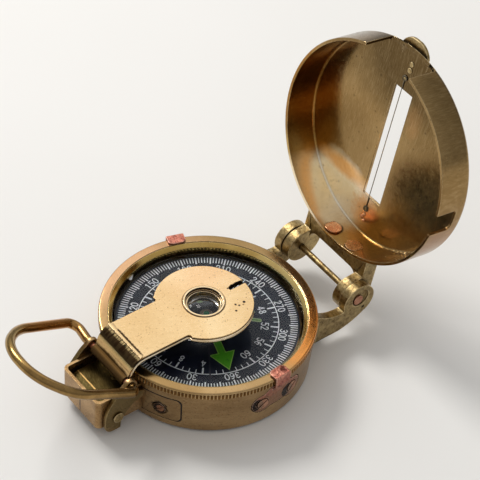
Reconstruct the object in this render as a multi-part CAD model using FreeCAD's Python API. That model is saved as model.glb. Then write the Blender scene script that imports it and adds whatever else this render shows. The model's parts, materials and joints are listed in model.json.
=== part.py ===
import FreeCAD, Part
import math
import os

# Pocket transit compass with a folding lens arm and a sighting lid, in millimetres.
# The origin is the centre of the case's underside: +Z up, +Y towards the lid hinge, +X right.
# Azimuths turn from +X towards +Y. The lid is drawn closed and then opened.

# Clearances
turn_gap = 0.05             # radial room of a piece that turns in or on another
pin_gap = 0.02              # room round a pin, rivet or screw that stays put
seat_gap = 0.1              # room round the glass and its retaining ring
sight_gap = 0.25            # the dark line left round a piece let into the case wall

# Glass and bezel
glass_radius = 25.5
glass_thickness = 1.1
glass_sink = 0.1            # glass top below the case's top edge
lip_width = 1.1
lip_thickness = 0.4
skirt_wall = 0.8
bezel_overhang = 0.4        # bezel beyond the case wall
bezel_rise = 2.2            # bezel above the case wall
bezel_edge = 0.45
knurl_teeth = 192
knurl_depth = 0.28
knurl_height = 1.65
ring_step = 0.5             # seat of the retaining ring beyond the glass
ring_reach = 1.15           # how far the retaining ring leans in over the glass
ring_rise = 2.15
ring_land = 0.1             # flat top, outside its slope

# Case
case_height = 13.8
case_wall = 1.65            # outside the bezel's skirt
case_taper = 0.065          # narrowing of the wall for each millimetre down
case_floor = 2.0
case_edge = 1.3
chamber_ledge = 1.25        # ledge under the bezel's skirt
skirt_room = 0.2            # room under the bezel's skirt

# Needle, hub and dial card
card_gap = 0.5              # card top below the glass
card_thickness = 0.4
card_margin = 1.2           # card edge inside the chamber wall
dial_azimuth = -18.0        # the way that the north end of the card points
hub_radius = 2.55
hub_flange = 0.85
hub_flange_height = 0.5
hub_rise = 0.25             # hub above the card
jewel_radius = 1.2
jewel_depth = 1.5
jewel_mouth = 0.8           # radius of the hollow that sits on the needle
needle_radius = 0.38
needle_point = 1.15
tip_gap = 0.05
post_radius = 1.2
post_flange = 2.4
post_flange_height = 0.8
post_height = 3.5           # above the chamber floor
post_root = 1.2             # pressed into the floor
magnet_length = 26.0
magnet_width = 2.2
magnet_height = 1.5
magnet_spacing = 11.0

# Clips that hold the bezel down
clip_azimuths = (4.5, 162.0)
clip_thickness = 0.65
clip_neck_width = 4.8
clip_screw_angle = 10.2     # from the clip's middle to each screw
clip_screw_drop = 5.9       # screws below the case's top edge
clip_lobe = 3.1
clip_web_drop = 2.2         # lower edge of the clip's web below its screws
clip_shoulder_drop = 0.8    # below the case's top edge
clip_bend_drop = 1.5
clip_tongue_reach = 2.7     # tongue in from the bezel's edge
clip_screw_head = 1.55
clip_screw_shank = 0.75
clip_screw_length = 1.3
clip_head_height = 0.55
clip_head_sink = 0.3

# Rear bracket: a band let into the wall, with two ears
band_low = 3.0
band_high = 11.3
band_thickness = 1.0
band_start = -129.9
band_end = -50.1
band_corner = 1.5
bracket_screw_azimuths = (-62.2, -117.8)
bracket_screw_height = 6.3
bracket_pocket = 2.15
bracket_screw_head = 1.7
bracket_screw_shank = 0.9
bracket_screw_length = 1.9
bracket_head_sink = 0.55
bracket_head_height = 0.6
ear_thickness = 1.2
ear_boss = 1.9

# Pivot shared by the lens arm and the thumb ring, and the tray below it
pivot_offset = 2.6          # pivot's axis beyond the case wall
pivot_rise = 1.0            # and above the case's top edge
pivot_pin_radius = 0.95
pivot_pin_bore = 0.6
tray_half_width = 8.0
tray_wall = 0.8
tray_length = 9.3           # behind the pivot
tray_low = 3.1
tray_drop = 2.35            # tray's edge below the pivot
tray_corner = 1.5
tray_horn_rise = 0.8        # horns above the pivot
tray_rivet_back = 3.9       # behind the pivot
tray_rivet_z = 5.9
tray_rivet_radius = 0.9
tray_rivet_head = 1.5
rivet_head_height = 0.5
spring_thickness = 0.45
spring_half_width = 6.5
spring_bend = 1.2
spring_rise = 6.4           # top of the leaf above the tray's floor
spring_room = 0.5           # behind the leaf, to the tray's rear wall
spring_crease_back = 5.6    # behind the pivot
spring_sag = 0.45           # from the crease to the rear bend
spring_front_reach = 1.3    # in front of the pivot
spring_foot_back = 0.3
spring_dimple = 0.6

# Lens arm and lens
arm_rise = 4.8              # arm's top above the bezel
arm_thickness = 0.9
arm_half_width = 7.2
arm_flange = 1.5            # depth of the turned-down edges, from the top
arm_flange_wall = 0.8
arm_disc_radius = 12.95
arm_disc_y = -1.7
arm_relief = 0.75           # round cut in the corner between strap and disc
arm_relief_place = (7.95, -12.15)
arm_knuckle_radius = 1.45
arm_knuckle_half = 6.85
arm_bend_front = 4.1        # start of the bend, in front of the pivot
arm_rib_front = 4.4
arm_rib_width = 0.8
arm_rib_rise = 0.3
sight_slit_length = 4.8
sight_slit_width = 0.9
lens_radius = 4.65
lens_height = 1.2           # at the edge
lens_hollow_radius = 3.9    # hollowed on the underside
lens_hollow_depth = 0.85
bush_wall = 0.7
bush_opening = 4.27
bush_rise = 0.25            # bush above the arm
bush_recess = 0.95          # lip over the lens, below the bush's rim
bush_recess_wall = 0.5
bush_lip = 0.4
bush_flange = 0.7
bush_flange_height = 0.6
bush_depth = 2.9            # bush below the top of the arm's plate
keeper_width = 0.7
keeper_height = 0.5

# Thumb ring
ring_wire = 1.3
ring_tilt = 30.0            # above the level, as it stands
ring_collar_gap = 0.15
ring_stub_length = 2.2
ring_right = 11.6
ring_left = -17.8
ring_length = 29.3
ring_end_bend = 2.1
ring_left_bow = 1.4         # left end, past the pivot and back to it
ring_left_bend = 2.6
ring_left_run = 1.4          # straight beside the ear

# Lid hinge and yoke
hinge_offset = 10.54        # hinge's axis beyond the case wall
hinge_drop = 3.23           # and below the case's top edge
hinge_pin_radius = 0.85
lid_opening = 100.78
yoke_half_width = 15.15
yoke_ear_thickness = 2.6
yoke_ear_radius = 5.04
yoke_drop = 7.77            # underside of the yoke's arms below the hinge
saddle_low = 3.0
saddle_high = 10.2
saddle_thickness = 1.4
saddle_half_angle = 32.5
yoke_screw_angles = (-18.0, 0.0, 18.0)
yoke_screw_height = 6.6
yoke_screw_head = 1.8
yoke_screw_shank = 0.9
yoke_screw_length = 3.2
yoke_head_height = 0.7
yoke_head_sink = 0.15       # heads let into flats on the saddle
hinge_pocket_radius = 2.7
hinge_pocket_depth = 0.7
hinge_pocket_shift = (0.45, 0.9)
hinge_washer_radius = 1.5
hinge_washer_height = 0.45
lock_pin_reach = 1.66       # beyond the hinge
lock_pin_drop = 2.97        # below the hinge
lock_pin_radius = 0.5
lock_pin_length = 1.8
lock_pin_sink = 0.3
knuckle_gap = 0.15
knuckle_width = 2.85
knuckle_radius = 4.7

# Lid
lid_room = 0.9              # lid bore beyond the bezel
lid_wall = 0.85
lid_centre_y = 0.5
lid_overlap = 1.7           # rim of the shut lid below the case's top edge
lid_ceiling_room = 0.35     # over the rib of the lens arm when the lid is shut
lid_edge = 1.5
sight_window_half = 3.35
sight_window_rear = -16.9
sight_window_front = 18.6
lid_gap_room = 0.4          # the wall is cut away round the tray and the lens arm
lid_gap_ceiling = 0.05
clip_notch_azimuth = 5.3
clip_notch_half = 3.2
clip_notch_depth = 6.8
clip_notch_corner = 1.2
lid_bracket_low = 0.3       # above the rim
lid_bracket_high = 4.7
lid_bracket_depth = 2.65    # behind the lid's wall
lid_rivet_angle = 8.6
lid_rivet_height = 2.8      # above the rim
lid_rivet_radius = 1.3
lid_rivet_head = 2.35
lid_rivet_head_height = 0.4
thumb_tab_x = -0.8
thumb_tab_half = 4.9
thumb_tab_thickness = 0.9
thumb_tab_inner = -21.35
thumb_tab_reach = 1.65      # beyond the lid's wall
tab_rivets_rear = (0.2, -23.1)
tab_rivet_spacing = 1.9
tab_rivet_radius = 0.5
tab_rivet_head = 0.8
tab_rivet_head_height = 0.3
sight_wire_radius = 0.12
sight_wire_drop = 0.15      # wire's middle below the lid's ceiling
wire_loop_radius = 0.75
wire_pin_radius = 0.42
wire_pin_head = 0.85
wire_pin_head_height = 0.3
wire_pin_rear = (-0.6, -20.3)
wire_pin_front = (-0.8, 22.4)
wire_anchor = (-1.6, 25.6)

# Sizes that follow from the ones above
skirt_radius = glass_radius + seat_gap + skirt_wall
guide_radius = skirt_radius + turn_gap
case_radius = guide_radius + case_wall
chamber_radius = guide_radius - chamber_ledge
bezel_radius = case_radius + bezel_overhang
bezel_top = case_height + bezel_rise
glass_top = case_height - glass_sink
glass_low = glass_top - glass_thickness
skirt_low = glass_low - lip_thickness
ring_seat_radius = glass_radius + ring_step
card_top = glass_low - card_gap
card_low = card_top - card_thickness
clip_screw_height = case_height - clip_screw_drop
clip_web_low = clip_screw_height - clip_web_drop
clip_shoulder = case_height - clip_shoulder_drop
clip_bend_low = case_height - clip_bend_drop
pivot_y = -(case_radius + pivot_offset)
pivot_z = case_height + pivot_rise
tray_rear = pivot_y - tray_length
tray_high = pivot_z - tray_drop
tray_rivet_y = pivot_y - tray_rivet_back
spring_rear = tray_rear + tray_wall + spring_room
spring_crease_y = pivot_y - spring_crease_back
arm_top = bezel_top + arm_rise
arm_low = arm_top - arm_thickness
arm_bend_y = pivot_y + arm_bend_front
arm_rib_y = pivot_y + arm_rib_front
hinge_y = case_radius + hinge_offset
hinge_z = case_height - hinge_drop
yoke_low = hinge_z - yoke_drop
lock_pin_y = hinge_y + lock_pin_reach
lock_pin_z = hinge_z - lock_pin_drop
card_radius = chamber_radius - card_margin
clip_inner = bezel_radius + seat_gap
clip_outer = clip_inner + clip_thickness - turn_gap
ear_outer = tray_half_width + ear_thickness
lid_bore = bezel_radius + lid_room
lid_radius = lid_bore + lid_wall
lid_rim_z = case_height - lid_overlap
lid_ceiling_z = arm_top + arm_rib_rise + lid_ceiling_room
lid_top_z = lid_ceiling_z + lid_wall
lid_gap_half = tray_half_width + lid_gap_room
lid_bracket_rear = lid_centre_y + lid_radius + lid_bracket_depth
knuckle_outer = yoke_half_width - yoke_ear_thickness - knuckle_gap
knuckle_inner = knuckle_outer - knuckle_width
tray_floor_top = tray_low + tray_wall
far = 2 * case_radius       # past the outside of every piece that a hole is cut in

zero = FreeCAD.Vector(0, 0, 0)
axis_x = FreeCAD.Vector(1, 0, 0)
axis_y = FreeCAD.Vector(0, 1, 0)
axis_z = FreeCAD.Vector(0, 0, 1)


def wall_radius(z):
    return case_radius - case_taper * (case_height - z)


def section(r, z):
    return FreeCAD.Vector(r, 0, z)


def side(y, z):
    return FreeCAD.Vector(0, y, z)


def plan(x, y):
    return FreeCAD.Vector(x, y, 0)


def front(x, z):
    return FreeCAD.Vector(x, 0, z)


def outline(place, start, *steps):
    # A closed face. A step is the next point, or a pair: a point that an arc passes, and its end.
    edges = []
    first = place(*start)
    here = first
    for step in steps:
        if isinstance(step[0], tuple):
            middle, end = [place(*point) for point in step]
            edges.append(Part.Arc(here, middle, end).toShape())
        else:
            end = place(*step)
            edges.append(Part.LineSegment(here, end).toShape())
        here = end
    if here.distanceToPoint(first) > 1e-6:
        edges.append(Part.LineSegment(here, first).toShape())
    return Part.Face(Part.Wire(edges))


def turned(start, *steps):
    return outline(section, start, *steps).revolve(zero, axis_z, 360)


def slab_x(low, high, start, *steps):
    slab = outline(side, start, *steps).extrude(FreeCAD.Vector(high - low, 0, 0))
    slab.translate(FreeCAD.Vector(low, 0, 0))
    return slab


def slab_y(low, high, start, *steps):
    slab = outline(front, start, *steps).extrude(FreeCAD.Vector(0, high - low, 0))
    slab.translate(FreeCAD.Vector(0, low, 0))
    return slab


def slab_z(low, high, start, *steps):
    slab = outline(plan, start, *steps).extrude(FreeCAD.Vector(0, 0, high - low))
    slab.translate(FreeCAD.Vector(0, 0, low))
    return slab


def block(x0, x1, y0, y1, z0, z1):
    return Part.makeBox(x1 - x0, y1 - y0, z1 - z0, FreeCAD.Vector(x0, y0, z0))


def disc(radius, low, high, x=0, y=0):
    return Part.makeCylinder(radius, high - low, FreeCAD.Vector(x, y, low), axis_z)


def rod_x(radius, low, high, y, z):
    return Part.makeCylinder(radius, high - low, FreeCAD.Vector(low, y, z), axis_x)


def radial_rod(radius, inner, outer, azimuth, z):
    # A rod that points out from the case's axis
    rod = Part.makeCylinder(radius, outer - inner, FreeCAD.Vector(inner, 0, z), axis_x)
    rod.rotate(zero, axis_z, azimuth)
    return rod


def turned_about_z(shape, degrees):
    moved = shape.copy()
    moved.rotate(zero, axis_z, degrees)
    return moved


def mirrored_x(shape):
    return shape.mirror(zero, axis_x)


def wall_band(low, high, inner, outer, start, end):
    # A stretch of ring that follows the case wall; inner and outer are measured outwards from it
    face = outline(
        section,
        (wall_radius(low) + inner, low),
        (wall_radius(low) + outer, low),
        (wall_radius(high) + outer, high),
        (wall_radius(high) + inner, high),
    )
    band = face.revolve(zero, axis_z, end - start)
    band.rotate(zero, axis_z, start)
    return band


def case_envelope(gap):
    # The whole case as a solid, grown outwards, for cutting what stands against its wall
    return turned(
        (0, -1),
        (wall_radius(-1) + gap, -1),
        (case_radius + gap, case_height),
        (0, case_height),
    )


def rounded_rectangle(low, high, half, rear, front_y, corner):
    # Seen from above, with its two rear corners rounded
    inside = corner * (1 - math.sqrt(0.5))
    return slab_z(
        low,
        high,
        (half, front_y),
        (half, rear + corner),
        ((half - inside, rear + inside), (half - corner, rear)),
        (-half + corner, rear),
        ((-half + inside, rear + inside), (-half, rear + corner)),
        (-half, front_y),
    )


def slot_cut(radius, inner, outer, azimuth, z):
    # The screwdriver slot of a screw that points out from the case's axis
    width = radius * 0.34
    cut = block(inner, outer, -radius, radius, z - width / 2, z + width / 2)
    cut.rotate(FreeCAD.Vector(0, 0, z), axis_x, 35)
    cut.rotate(zero, axis_z, azimuth)
    return cut


def radial_screw(head, shank, head_low, head_high, shank_low, azimuth, z):
    body = radial_rod(head, head_low, head_high, azimuth, z)
    body = body.fuse(radial_rod(shank, shank_low, head_low, azimuth, z))
    slot_floor = head_high - (head_high - head_low) * 0.55
    return body.cut(slot_cut(head, slot_floor, head_high + 1, azimuth, z)).removeSplitter()


def case_body():
    low_radius = wall_radius(0)
    inside = case_edge * (1 - math.sqrt(0.5))
    body = turned(
        (0, 0),
        (low_radius - case_edge, 0),
        ((low_radius - inside, inside), (wall_radius(case_edge), case_edge)),
        (case_radius, case_height),
        (guide_radius, case_height),
        (guide_radius, skirt_low - skirt_room),
        (chamber_radius, skirt_low - skirt_room),
        (chamber_radius, case_floor),
        (0, case_floor),
    )
    cuts = [disc(post_radius + pin_gap, case_floor - post_root - pin_gap, case_floor)]
    for azimuth in clip_azimuths:
        cuts.append(clip_plate(azimuth, sight_gap, pin_gap, 2.0))
        for screw in clip_screw_azimuths(azimuth):
            bottom = clip_shank_low() - pin_gap
            cuts.append(
                radial_rod(clip_screw_shank + pin_gap, bottom, case_radius, screw, clip_screw_height)
            )
    cuts.append(bracket_band(sight_gap, pin_gap, 2.0))
    for azimuth in bracket_screw_azimuths:
        bottom = bracket_shank_low() - pin_gap
        shank = bracket_screw_shank + pin_gap
        cuts.append(radial_rod(shank, bottom, case_radius, azimuth, bracket_screw_height))
    for azimuth in yoke_screw_azimuths():
        shank = yoke_screw_shank + pin_gap
        bottom = yoke_shank_low() - pin_gap
        cuts.append(radial_rod(shank, bottom, case_radius + 1, azimuth, yoke_screw_height))
    return body.cut(cuts).removeSplitter()


def pivot_post():
    top = case_floor + post_height
    body = disc(post_radius, case_floor - post_root, top)
    body = body.fuse(disc(post_flange, case_floor, case_floor + post_flange_height))
    bore = disc(needle_radius + pin_gap, case_floor + post_flange_height, top)
    return body.cut(bore).removeSplitter()


def needle_tip_z():
    return card_low - 0.1


def pivot_needle():
    tip = needle_tip_z()
    return turned(
        (0, case_floor + post_flange_height),
        (needle_radius, case_floor + post_flange_height),
        (needle_radius, tip - needle_point),
        (0.03, tip),
        (0, tip),
    )


def dial_card():
    card = disc(card_radius, card_low, card_top)
    return card.cut(disc(hub_radius + pin_gap, card_low, card_top))


def dial_hub():
    low = card_low - hub_flange_height
    high = card_top + hub_rise
    edge = hub_rise * 0.8
    return turned(
        (jewel_radius + pin_gap, low),
        (hub_radius + hub_flange, low),
        (hub_radius + hub_flange, card_low),
        (hub_radius, card_low),
        (hub_radius, high - edge),
        (hub_radius - edge, high),
        (jewel_radius + pin_gap, high),
    )


def jewel_cup():
    high = card_top + hub_rise / 2
    low = high - jewel_depth
    return turned(
        (jewel_mouth, low),
        (jewel_radius, low),
        (jewel_radius, high),
        (0, high),
        (0, needle_tip_z() + tip_gap),
        (0.06, needle_tip_z() + tip_gap),
    )


def magnet_bars():
    bars = []
    for offset in (-magnet_spacing / 2, magnet_spacing / 2):
        low = offset - magnet_width / 2
        high = offset + magnet_width / 2
        half = magnet_length / 2
        bar = block(-half, half, low, high, card_low - magnet_height, card_low)
        bars.append(turned_about_z(bar, dial_azimuth))
    return Part.makeCompound(bars)


def knurl_band(low, high):
    # Blunt teeth with narrow grooves between them
    points = []
    step = 2 * math.pi / knurl_teeth
    tip = bezel_radius - 0.02
    for tooth in range(knurl_teeth):
        for share, radius in ((0.0, tip), (0.5, tip), (0.75, tip - knurl_depth)):
            turn = (tooth + share) * step
            points.append((radius * math.cos(turn), radius * math.sin(turn)))
    band = slab_z(low, high, points[0], *points[1:])
    return band.cut(disc(skirt_radius - 0.1, low, high))


def bezel_ring():
    low = case_height + turn_gap
    knurl_top = low + knurl_height
    inside = bezel_edge * (1 - math.sqrt(0.5))
    seat = glass_radius + seat_gap
    upper = turned(
        (ring_seat_radius, knurl_top),
        (bezel_radius, knurl_top),
        (bezel_radius, bezel_top - bezel_edge),
        ((bezel_radius - inside, bezel_top - inside), (bezel_radius - bezel_edge, bezel_top)),
        (ring_seat_radius, bezel_top),
    )
    lower = turned(
        (glass_radius - lip_width, skirt_low),
        (skirt_radius, skirt_low),
        (skirt_radius, knurl_top),
        (ring_seat_radius, knurl_top),
        (ring_seat_radius, glass_top),
        (seat, glass_top),
        (seat, glass_low),
        (glass_radius - lip_width, glass_low),
    )
    return upper.fuse([lower, knurl_band(low, knurl_top)]).removeSplitter()


def bezel_glass():
    return disc(glass_radius, glass_low, glass_top)


def glass_retaining_ring():
    outer = ring_seat_radius - turn_gap
    inner = ring_seat_radius - ring_reach
    top = glass_top + ring_rise
    return turned(
        (inner, glass_top),
        (outer, glass_top),
        (outer, top),
        (outer - ring_land, top),
        (inner, top - (outer - ring_land - inner)),
    )


def clip_screw_azimuths(azimuth):
    return (azimuth - clip_screw_angle, azimuth + clip_screw_angle)


def clip_shank_low():
    return wall_radius(clip_screw_height) - clip_thickness - clip_screw_length


def clip_plate(azimuth, grow, under, proud):
    # The flat of the clip: a lobe round each screw and shoulders that rise to the neck
    half = clip_neck_width / 2 + grow
    reach = case_radius * math.sin(math.radians(clip_screw_angle))
    top = case_height + 1 if proud else case_height - 0.5
    flat = slab_y(
        -case_radius - 5,
        -case_radius + 5,
        (-reach, clip_web_low - grow),
        (reach, clip_web_low - grow),
        (reach, clip_screw_height + clip_lobe * 0.9 + grow),
        (half, clip_shoulder + grow),
        (half, top),
        (-half, top),
        (-half, clip_shoulder + grow),
        (-reach, clip_screw_height + clip_lobe * 0.9 + grow),
    )
    flat.rotate(zero, axis_z, azimuth + 90)
    whole = flat
    for screw in clip_screw_azimuths(azimuth):
        lobe = radial_rod(clip_lobe + grow, 0, far, screw, clip_screw_height)
        whole = whole.fuse(lobe)
    low = clip_screw_height - clip_lobe - 1
    band = wall_band(low, top, -clip_thickness - under, proud, azimuth - 25, azimuth + 25)
    return whole.common(band)


def clip_neck(azimuth):
    # From the shoulders out past the knurl, up, and in over the bezel
    start = wall_radius(clip_bend_low) - clip_thickness
    half = clip_neck_width / 2
    tongue_low = bezel_top + turn_gap
    tongue_high = tongue_low + clip_thickness - turn_gap
    tongue_end = bezel_radius - clip_tongue_reach
    bend = clip_thickness * 0.6
    inside = bend * (1 - math.sqrt(0.5))
    neck = slab_x(
        -half,
        half,
        (-start, clip_bend_low - 0.6),
        (-start, clip_bend_low),
        (-clip_inner, case_height - turn_gap),
        (-clip_inner, tongue_low),
        (-tongue_end, tongue_low),
        (-tongue_end, tongue_high),
        (-clip_outer + bend, tongue_high),
        ((-clip_outer + inside, tongue_high - inside), (-clip_outer, tongue_high - bend)),
        (-clip_outer, case_height - 0.35),
        (-start - clip_thickness, clip_bend_low - 0.2),
        (-start - clip_thickness, clip_bend_low - 0.6),
    )
    end_corners = [
        edge
        for edge in neck.Edges
        if abs(edge.Vertexes[0].Point.y + tongue_end) < 1e-4
        and abs(edge.Vertexes[-1].Point.y + tongue_end) < 1e-4
        and abs(edge.Vertexes[0].Point.x - edge.Vertexes[-1].Point.x) < 1e-4
    ]
    neck = neck.makeFillet(clip_neck_width * 0.25, end_corners)
    neck.rotate(zero, axis_z, azimuth + 90)
    return neck


def bezel_clip(azimuth):
    body = clip_plate(azimuth, 0, 0, 0).fuse(clip_neck(azimuth))
    seat = wall_radius(clip_screw_height) - clip_head_sink
    for screw in clip_screw_azimuths(azimuth):
        body = body.cut(radial_rod(clip_screw_head + 0.3, seat, far, screw, clip_screw_height))
        body = body.cut(radial_rod(clip_screw_shank + pin_gap, 0, far, screw, clip_screw_height))
    return body.removeSplitter()


def clip_screws():
    screws = []
    seat = wall_radius(clip_screw_height) - clip_head_sink
    for azimuth in clip_azimuths:
        for screw in clip_screw_azimuths(azimuth):
            screws.append(
                radial_screw(
                    clip_screw_head,
                    clip_screw_shank,
                    seat,
                    seat + clip_head_height,
                    clip_shank_low(),
                    screw,
                    clip_screw_height,
                )
            )
    return Part.makeCompound(screws)


def bracket_shank_low():
    return wall_radius(bracket_screw_height) - band_thickness - bracket_screw_length / 2


def bracket_band(grow, under, proud):
    turn = math.degrees(grow / case_radius)
    low = band_low - grow
    high = band_high + grow
    band = wall_band(low, high, -band_thickness - under, proud, band_start - turn, band_end + turn)
    corners = []
    for edge in band.Edges:
        first = edge.Vertexes[0].Point
        last = edge.Vertexes[-1].Point
        level = abs(first.z - last.z) < 1e-6
        if level and edge.Curve.TypeId == "Part::GeomLine":
            corners.append(edge)
    return band.makeFillet(band_corner, corners)


def bracket_ear():
    # Bent out from the band: up to the pivot, sloping down behind, and cut back under the band
    y = pivot_y
    z = pivot_z
    root = band_high
    foot = tray_rivet_z
    return slab_x(
        tray_half_width,
        ear_outer,
        (y + 4.3, root - 0.3),
        (y + ear_boss, lid_rim_z - 0.2),
        (y + ear_boss, z),
        ((y, z + ear_boss), (y - ear_boss * 0.8, z + ear_boss * 0.6)),
        (y - 3.5, z - 0.6),
        (y - 5.5, z - 3.0),
        ((y - 7.05, foot + 3.1), (y - 7.7, foot)),
        (y - 7.7, foot - 2.0),
        ((y - 7.0, foot - 3.7), (y - 5.3, foot - 4.4)),
        (y - 3.1, foot - 4.4),
        (y - 2.8, foot - 1.3),
        (y - 1.0, foot + 0.6),
        (y + 0.8, foot + 2.4),
        (y + 4.3, root - 2.1),
    )


def rear_bracket():
    body = bracket_band(0, 0, 0)
    core = case_envelope(-band_thickness)
    ear = bracket_ear().cut(core)
    body = body.fuse([ear, mirrored_x(ear)])
    body = body.cut(rod_x(pivot_pin_radius + pin_gap, -far, far, pivot_y, pivot_z))
    body = body.cut(rod_x(tray_rivet_radius + pin_gap, -far, far, tray_rivet_y, tray_rivet_z))
    seat = wall_radius(bracket_screw_height) - bracket_head_sink
    for azimuth in bracket_screw_azimuths:
        body = body.cut(radial_rod(bracket_pocket, seat, far, azimuth, bracket_screw_height))
        shank = bracket_screw_shank + pin_gap
        body = body.cut(radial_rod(shank, 0, far, azimuth, bracket_screw_height))
    return body.removeSplitter()


def bracket_screws():
    seat = wall_radius(bracket_screw_height) - bracket_head_sink
    screws = [
        radial_screw(
            bracket_screw_head,
            bracket_screw_shank,
            seat,
            seat + bracket_head_height,
            bracket_shank_low(),
            azimuth,
            bracket_screw_height,
        )
        for azimuth in bracket_screw_azimuths
    ]
    return Part.makeCompound(screws)


def tray_horn():
    # The side wall sweeps up in front of the pivot
    y = pivot_y
    rear = y + pivot_pin_radius + 0.12
    top = pivot_z + tray_horn_rise
    return slab_x(
        tray_half_width - tray_wall,
        tray_half_width,
        (y - 1.3, tray_high - 0.4),
        (y - 1.3, tray_high),
        (y - 0.7, tray_high),
        ((y + 0.6, pivot_z - pivot_pin_radius - 0.45), (rear, pivot_z - 0.2)),
        (rear + 0.05, top),
        (rear + 0.55, top),
        (rear + 0.7, tray_high - 0.4),
    )


def hinge_tray():
    inner = tray_half_width - tray_wall
    inside = -case_radius + 2
    corner = tray_corner - tray_wall / 2
    rear = tray_rear + tray_wall
    body = rounded_rectangle(tray_low, tray_high, tray_half_width, tray_rear, inside, tray_corner)
    hollow = rounded_rectangle(tray_floor_top, tray_high + 1, inner, rear, inside + 1, corner)
    body = body.cut(hollow)
    horn = tray_horn()
    body = body.fuse([horn, mirrored_x(horn)])
    body = body.cut(case_envelope(pin_gap))
    body = body.cut(rod_x(tray_rivet_radius + pin_gap, -far, far, tray_rivet_y, tray_rivet_z))
    hole = disc(tray_rivet_radius + pin_gap, tray_low, tray_floor_top, 0, spring_rivet_y())
    return body.cut(hole).removeSplitter()


def tray_rivets():
    rivets = []
    inner = tray_half_width - tray_wall
    for sign in (-1, 1):
        body = rod_x(
            tray_rivet_radius, inner - rivet_head_height * 0.8, ear_outer, tray_rivet_y, tray_rivet_z
        )
        head = rod_x(
            tray_rivet_head, ear_outer, ear_outer + rivet_head_height, tray_rivet_y, tray_rivet_z
        )
        tail = rod_x(
            tray_rivet_head * 0.85,
            inner - rivet_head_height * 0.8,
            inner,
            tray_rivet_y,
            tray_rivet_z,
        )
        rivet = body.fuse([head, tail]).removeSplitter()
        rivets.append(rivet if sign > 0 else mirrored_x(rivet))
    return Part.makeCompound(rivets)


def spring_rivet_y():
    return (pivot_y - spring_foot_back + spring_crease_y) / 2


def arm_spring():
    # A leaf bent back over itself; its flat top leg presses up towards the arm's knuckle
    low = tray_floor_top
    top = low + spring_rise
    foot = pivot_y - spring_foot_back
    front_end = pivot_y + spring_front_reach
    bend_y = spring_rear + spring_bend
    bend_top = top - spring_sag
    outside = spring_bend * math.sqrt(0.5)
    inner = spring_bend - spring_thickness
    inside = inner * math.sqrt(0.5)
    body = slab_x(
        -spring_half_width,
        spring_half_width,
        (foot, low),
        (foot, low + spring_thickness),
        (bend_y, low + spring_thickness),
        ((bend_y - inside, low + spring_bend - inside), (bend_y - inner, low + spring_bend)),
        (bend_y - inner, bend_top - spring_bend),
        ((bend_y - inside, bend_top - spring_bend + inside), (bend_y, bend_top - spring_thickness)),
        (spring_crease_y, top - spring_thickness),
        (front_end, top - spring_thickness),
        (front_end, top),
        (spring_crease_y, top),
        (bend_y, bend_top),
        ((bend_y - outside, bend_top - spring_bend + outside), (spring_rear, bend_top - spring_bend)),
        (spring_rear, low + spring_bend),
        ((bend_y - outside, low + spring_bend - outside), (bend_y, low)),
    )
    centre = FreeCAD.Vector(0.8, front_end - 0.9, top - 0.15)
    dimple = Part.makeSphere(spring_dimple, centre)
    body = body.fuse(dimple.common(block(-far, far, -far, far, top - spring_thickness, far)))
    hole = disc(tray_rivet_radius + pin_gap, low, low + spring_thickness, 0, spring_rivet_y())
    return body.cut(hole).removeSplitter()


def spring_rivet():
    y = spring_rivet_y()
    top = tray_floor_top + spring_thickness
    body = disc(tray_rivet_radius, tray_low, top, 0, y)
    head = disc(tray_rivet_head, top, top + rivet_head_height, 0, y)
    tail = disc(tray_rivet_head, tray_low - rivet_head_height, tray_low, 0, y)
    return body.fuse([head, tail]).removeSplitter()


def lens_arm_pin():
    pin = rod_x(pivot_pin_radius, -ear_outer, ear_outer, pivot_y, pivot_z)
    return pin.cut(rod_x(pivot_pin_bore, -ear_outer, ear_outer, pivot_y, pivot_z))


def arm_plate(low, inset):
    # The strap and its round end, seen from above
    strap = block(
        -arm_half_width + inset, arm_half_width - inset, arm_bend_y, arm_disc_y, low, arm_top
    )
    plate = strap.fuse(disc(arm_disc_radius - inset, low, arm_top, 0, arm_disc_y)).removeSplitter()
    x, y = arm_relief_place
    relief = disc(arm_relief + inset, low, arm_top, x, y)
    return plate.cut([relief, mirrored_x(relief)])


def arm_neck():
    # The bend from the flat strap down to the knuckle
    y = pivot_y
    z = pivot_z
    return slab_x(
        -arm_half_width,
        arm_half_width,
        (arm_bend_y, arm_top),
        ((y + 1.75, arm_top - 1.6), (y + 0.75, z + 2.3)),
        (y + 0.25, z + 1.4),
        (y + 1.35, z + 0.4),
        ((y + 2.55, arm_low - 1.6), (arm_bend_y, arm_low)),
    )


def lens_arm():
    plate = arm_plate(arm_top - arm_flange, 0)
    hollow = arm_plate(arm_top - arm_flange, arm_flange_wall)
    hollow = hollow.cut(block(-far, far, -far, far, arm_low, arm_top + 1))
    plate = plate.cut(hollow)
    rib = block(
        -arm_half_width,
        arm_half_width,
        arm_rib_y - arm_rib_width / 2,
        arm_rib_y + arm_rib_width / 2,
        arm_top - 0.1,
        arm_top + arm_rib_rise,
    )
    knuckle = rod_x(arm_knuckle_radius, -arm_knuckle_half, arm_knuckle_half, pivot_y, pivot_z)
    body = plate.fuse([arm_neck(), rib, knuckle])
    tip = arm_disc_y + arm_disc_radius
    half = sight_slit_width / 2
    slit = block(-half, half, tip - sight_slit_length, tip + 1, 0, arm_top + 1)
    bush_radius = lens_radius + turn_gap + bush_wall
    hole = disc(bush_radius + pin_gap, 0, arm_top + 1, 0, arm_disc_y)
    bore = rod_x(pivot_pin_radius + turn_gap, -far, far, pivot_y, pivot_z)
    return body.cut([slit, hole, bore]).removeSplitter()


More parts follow.
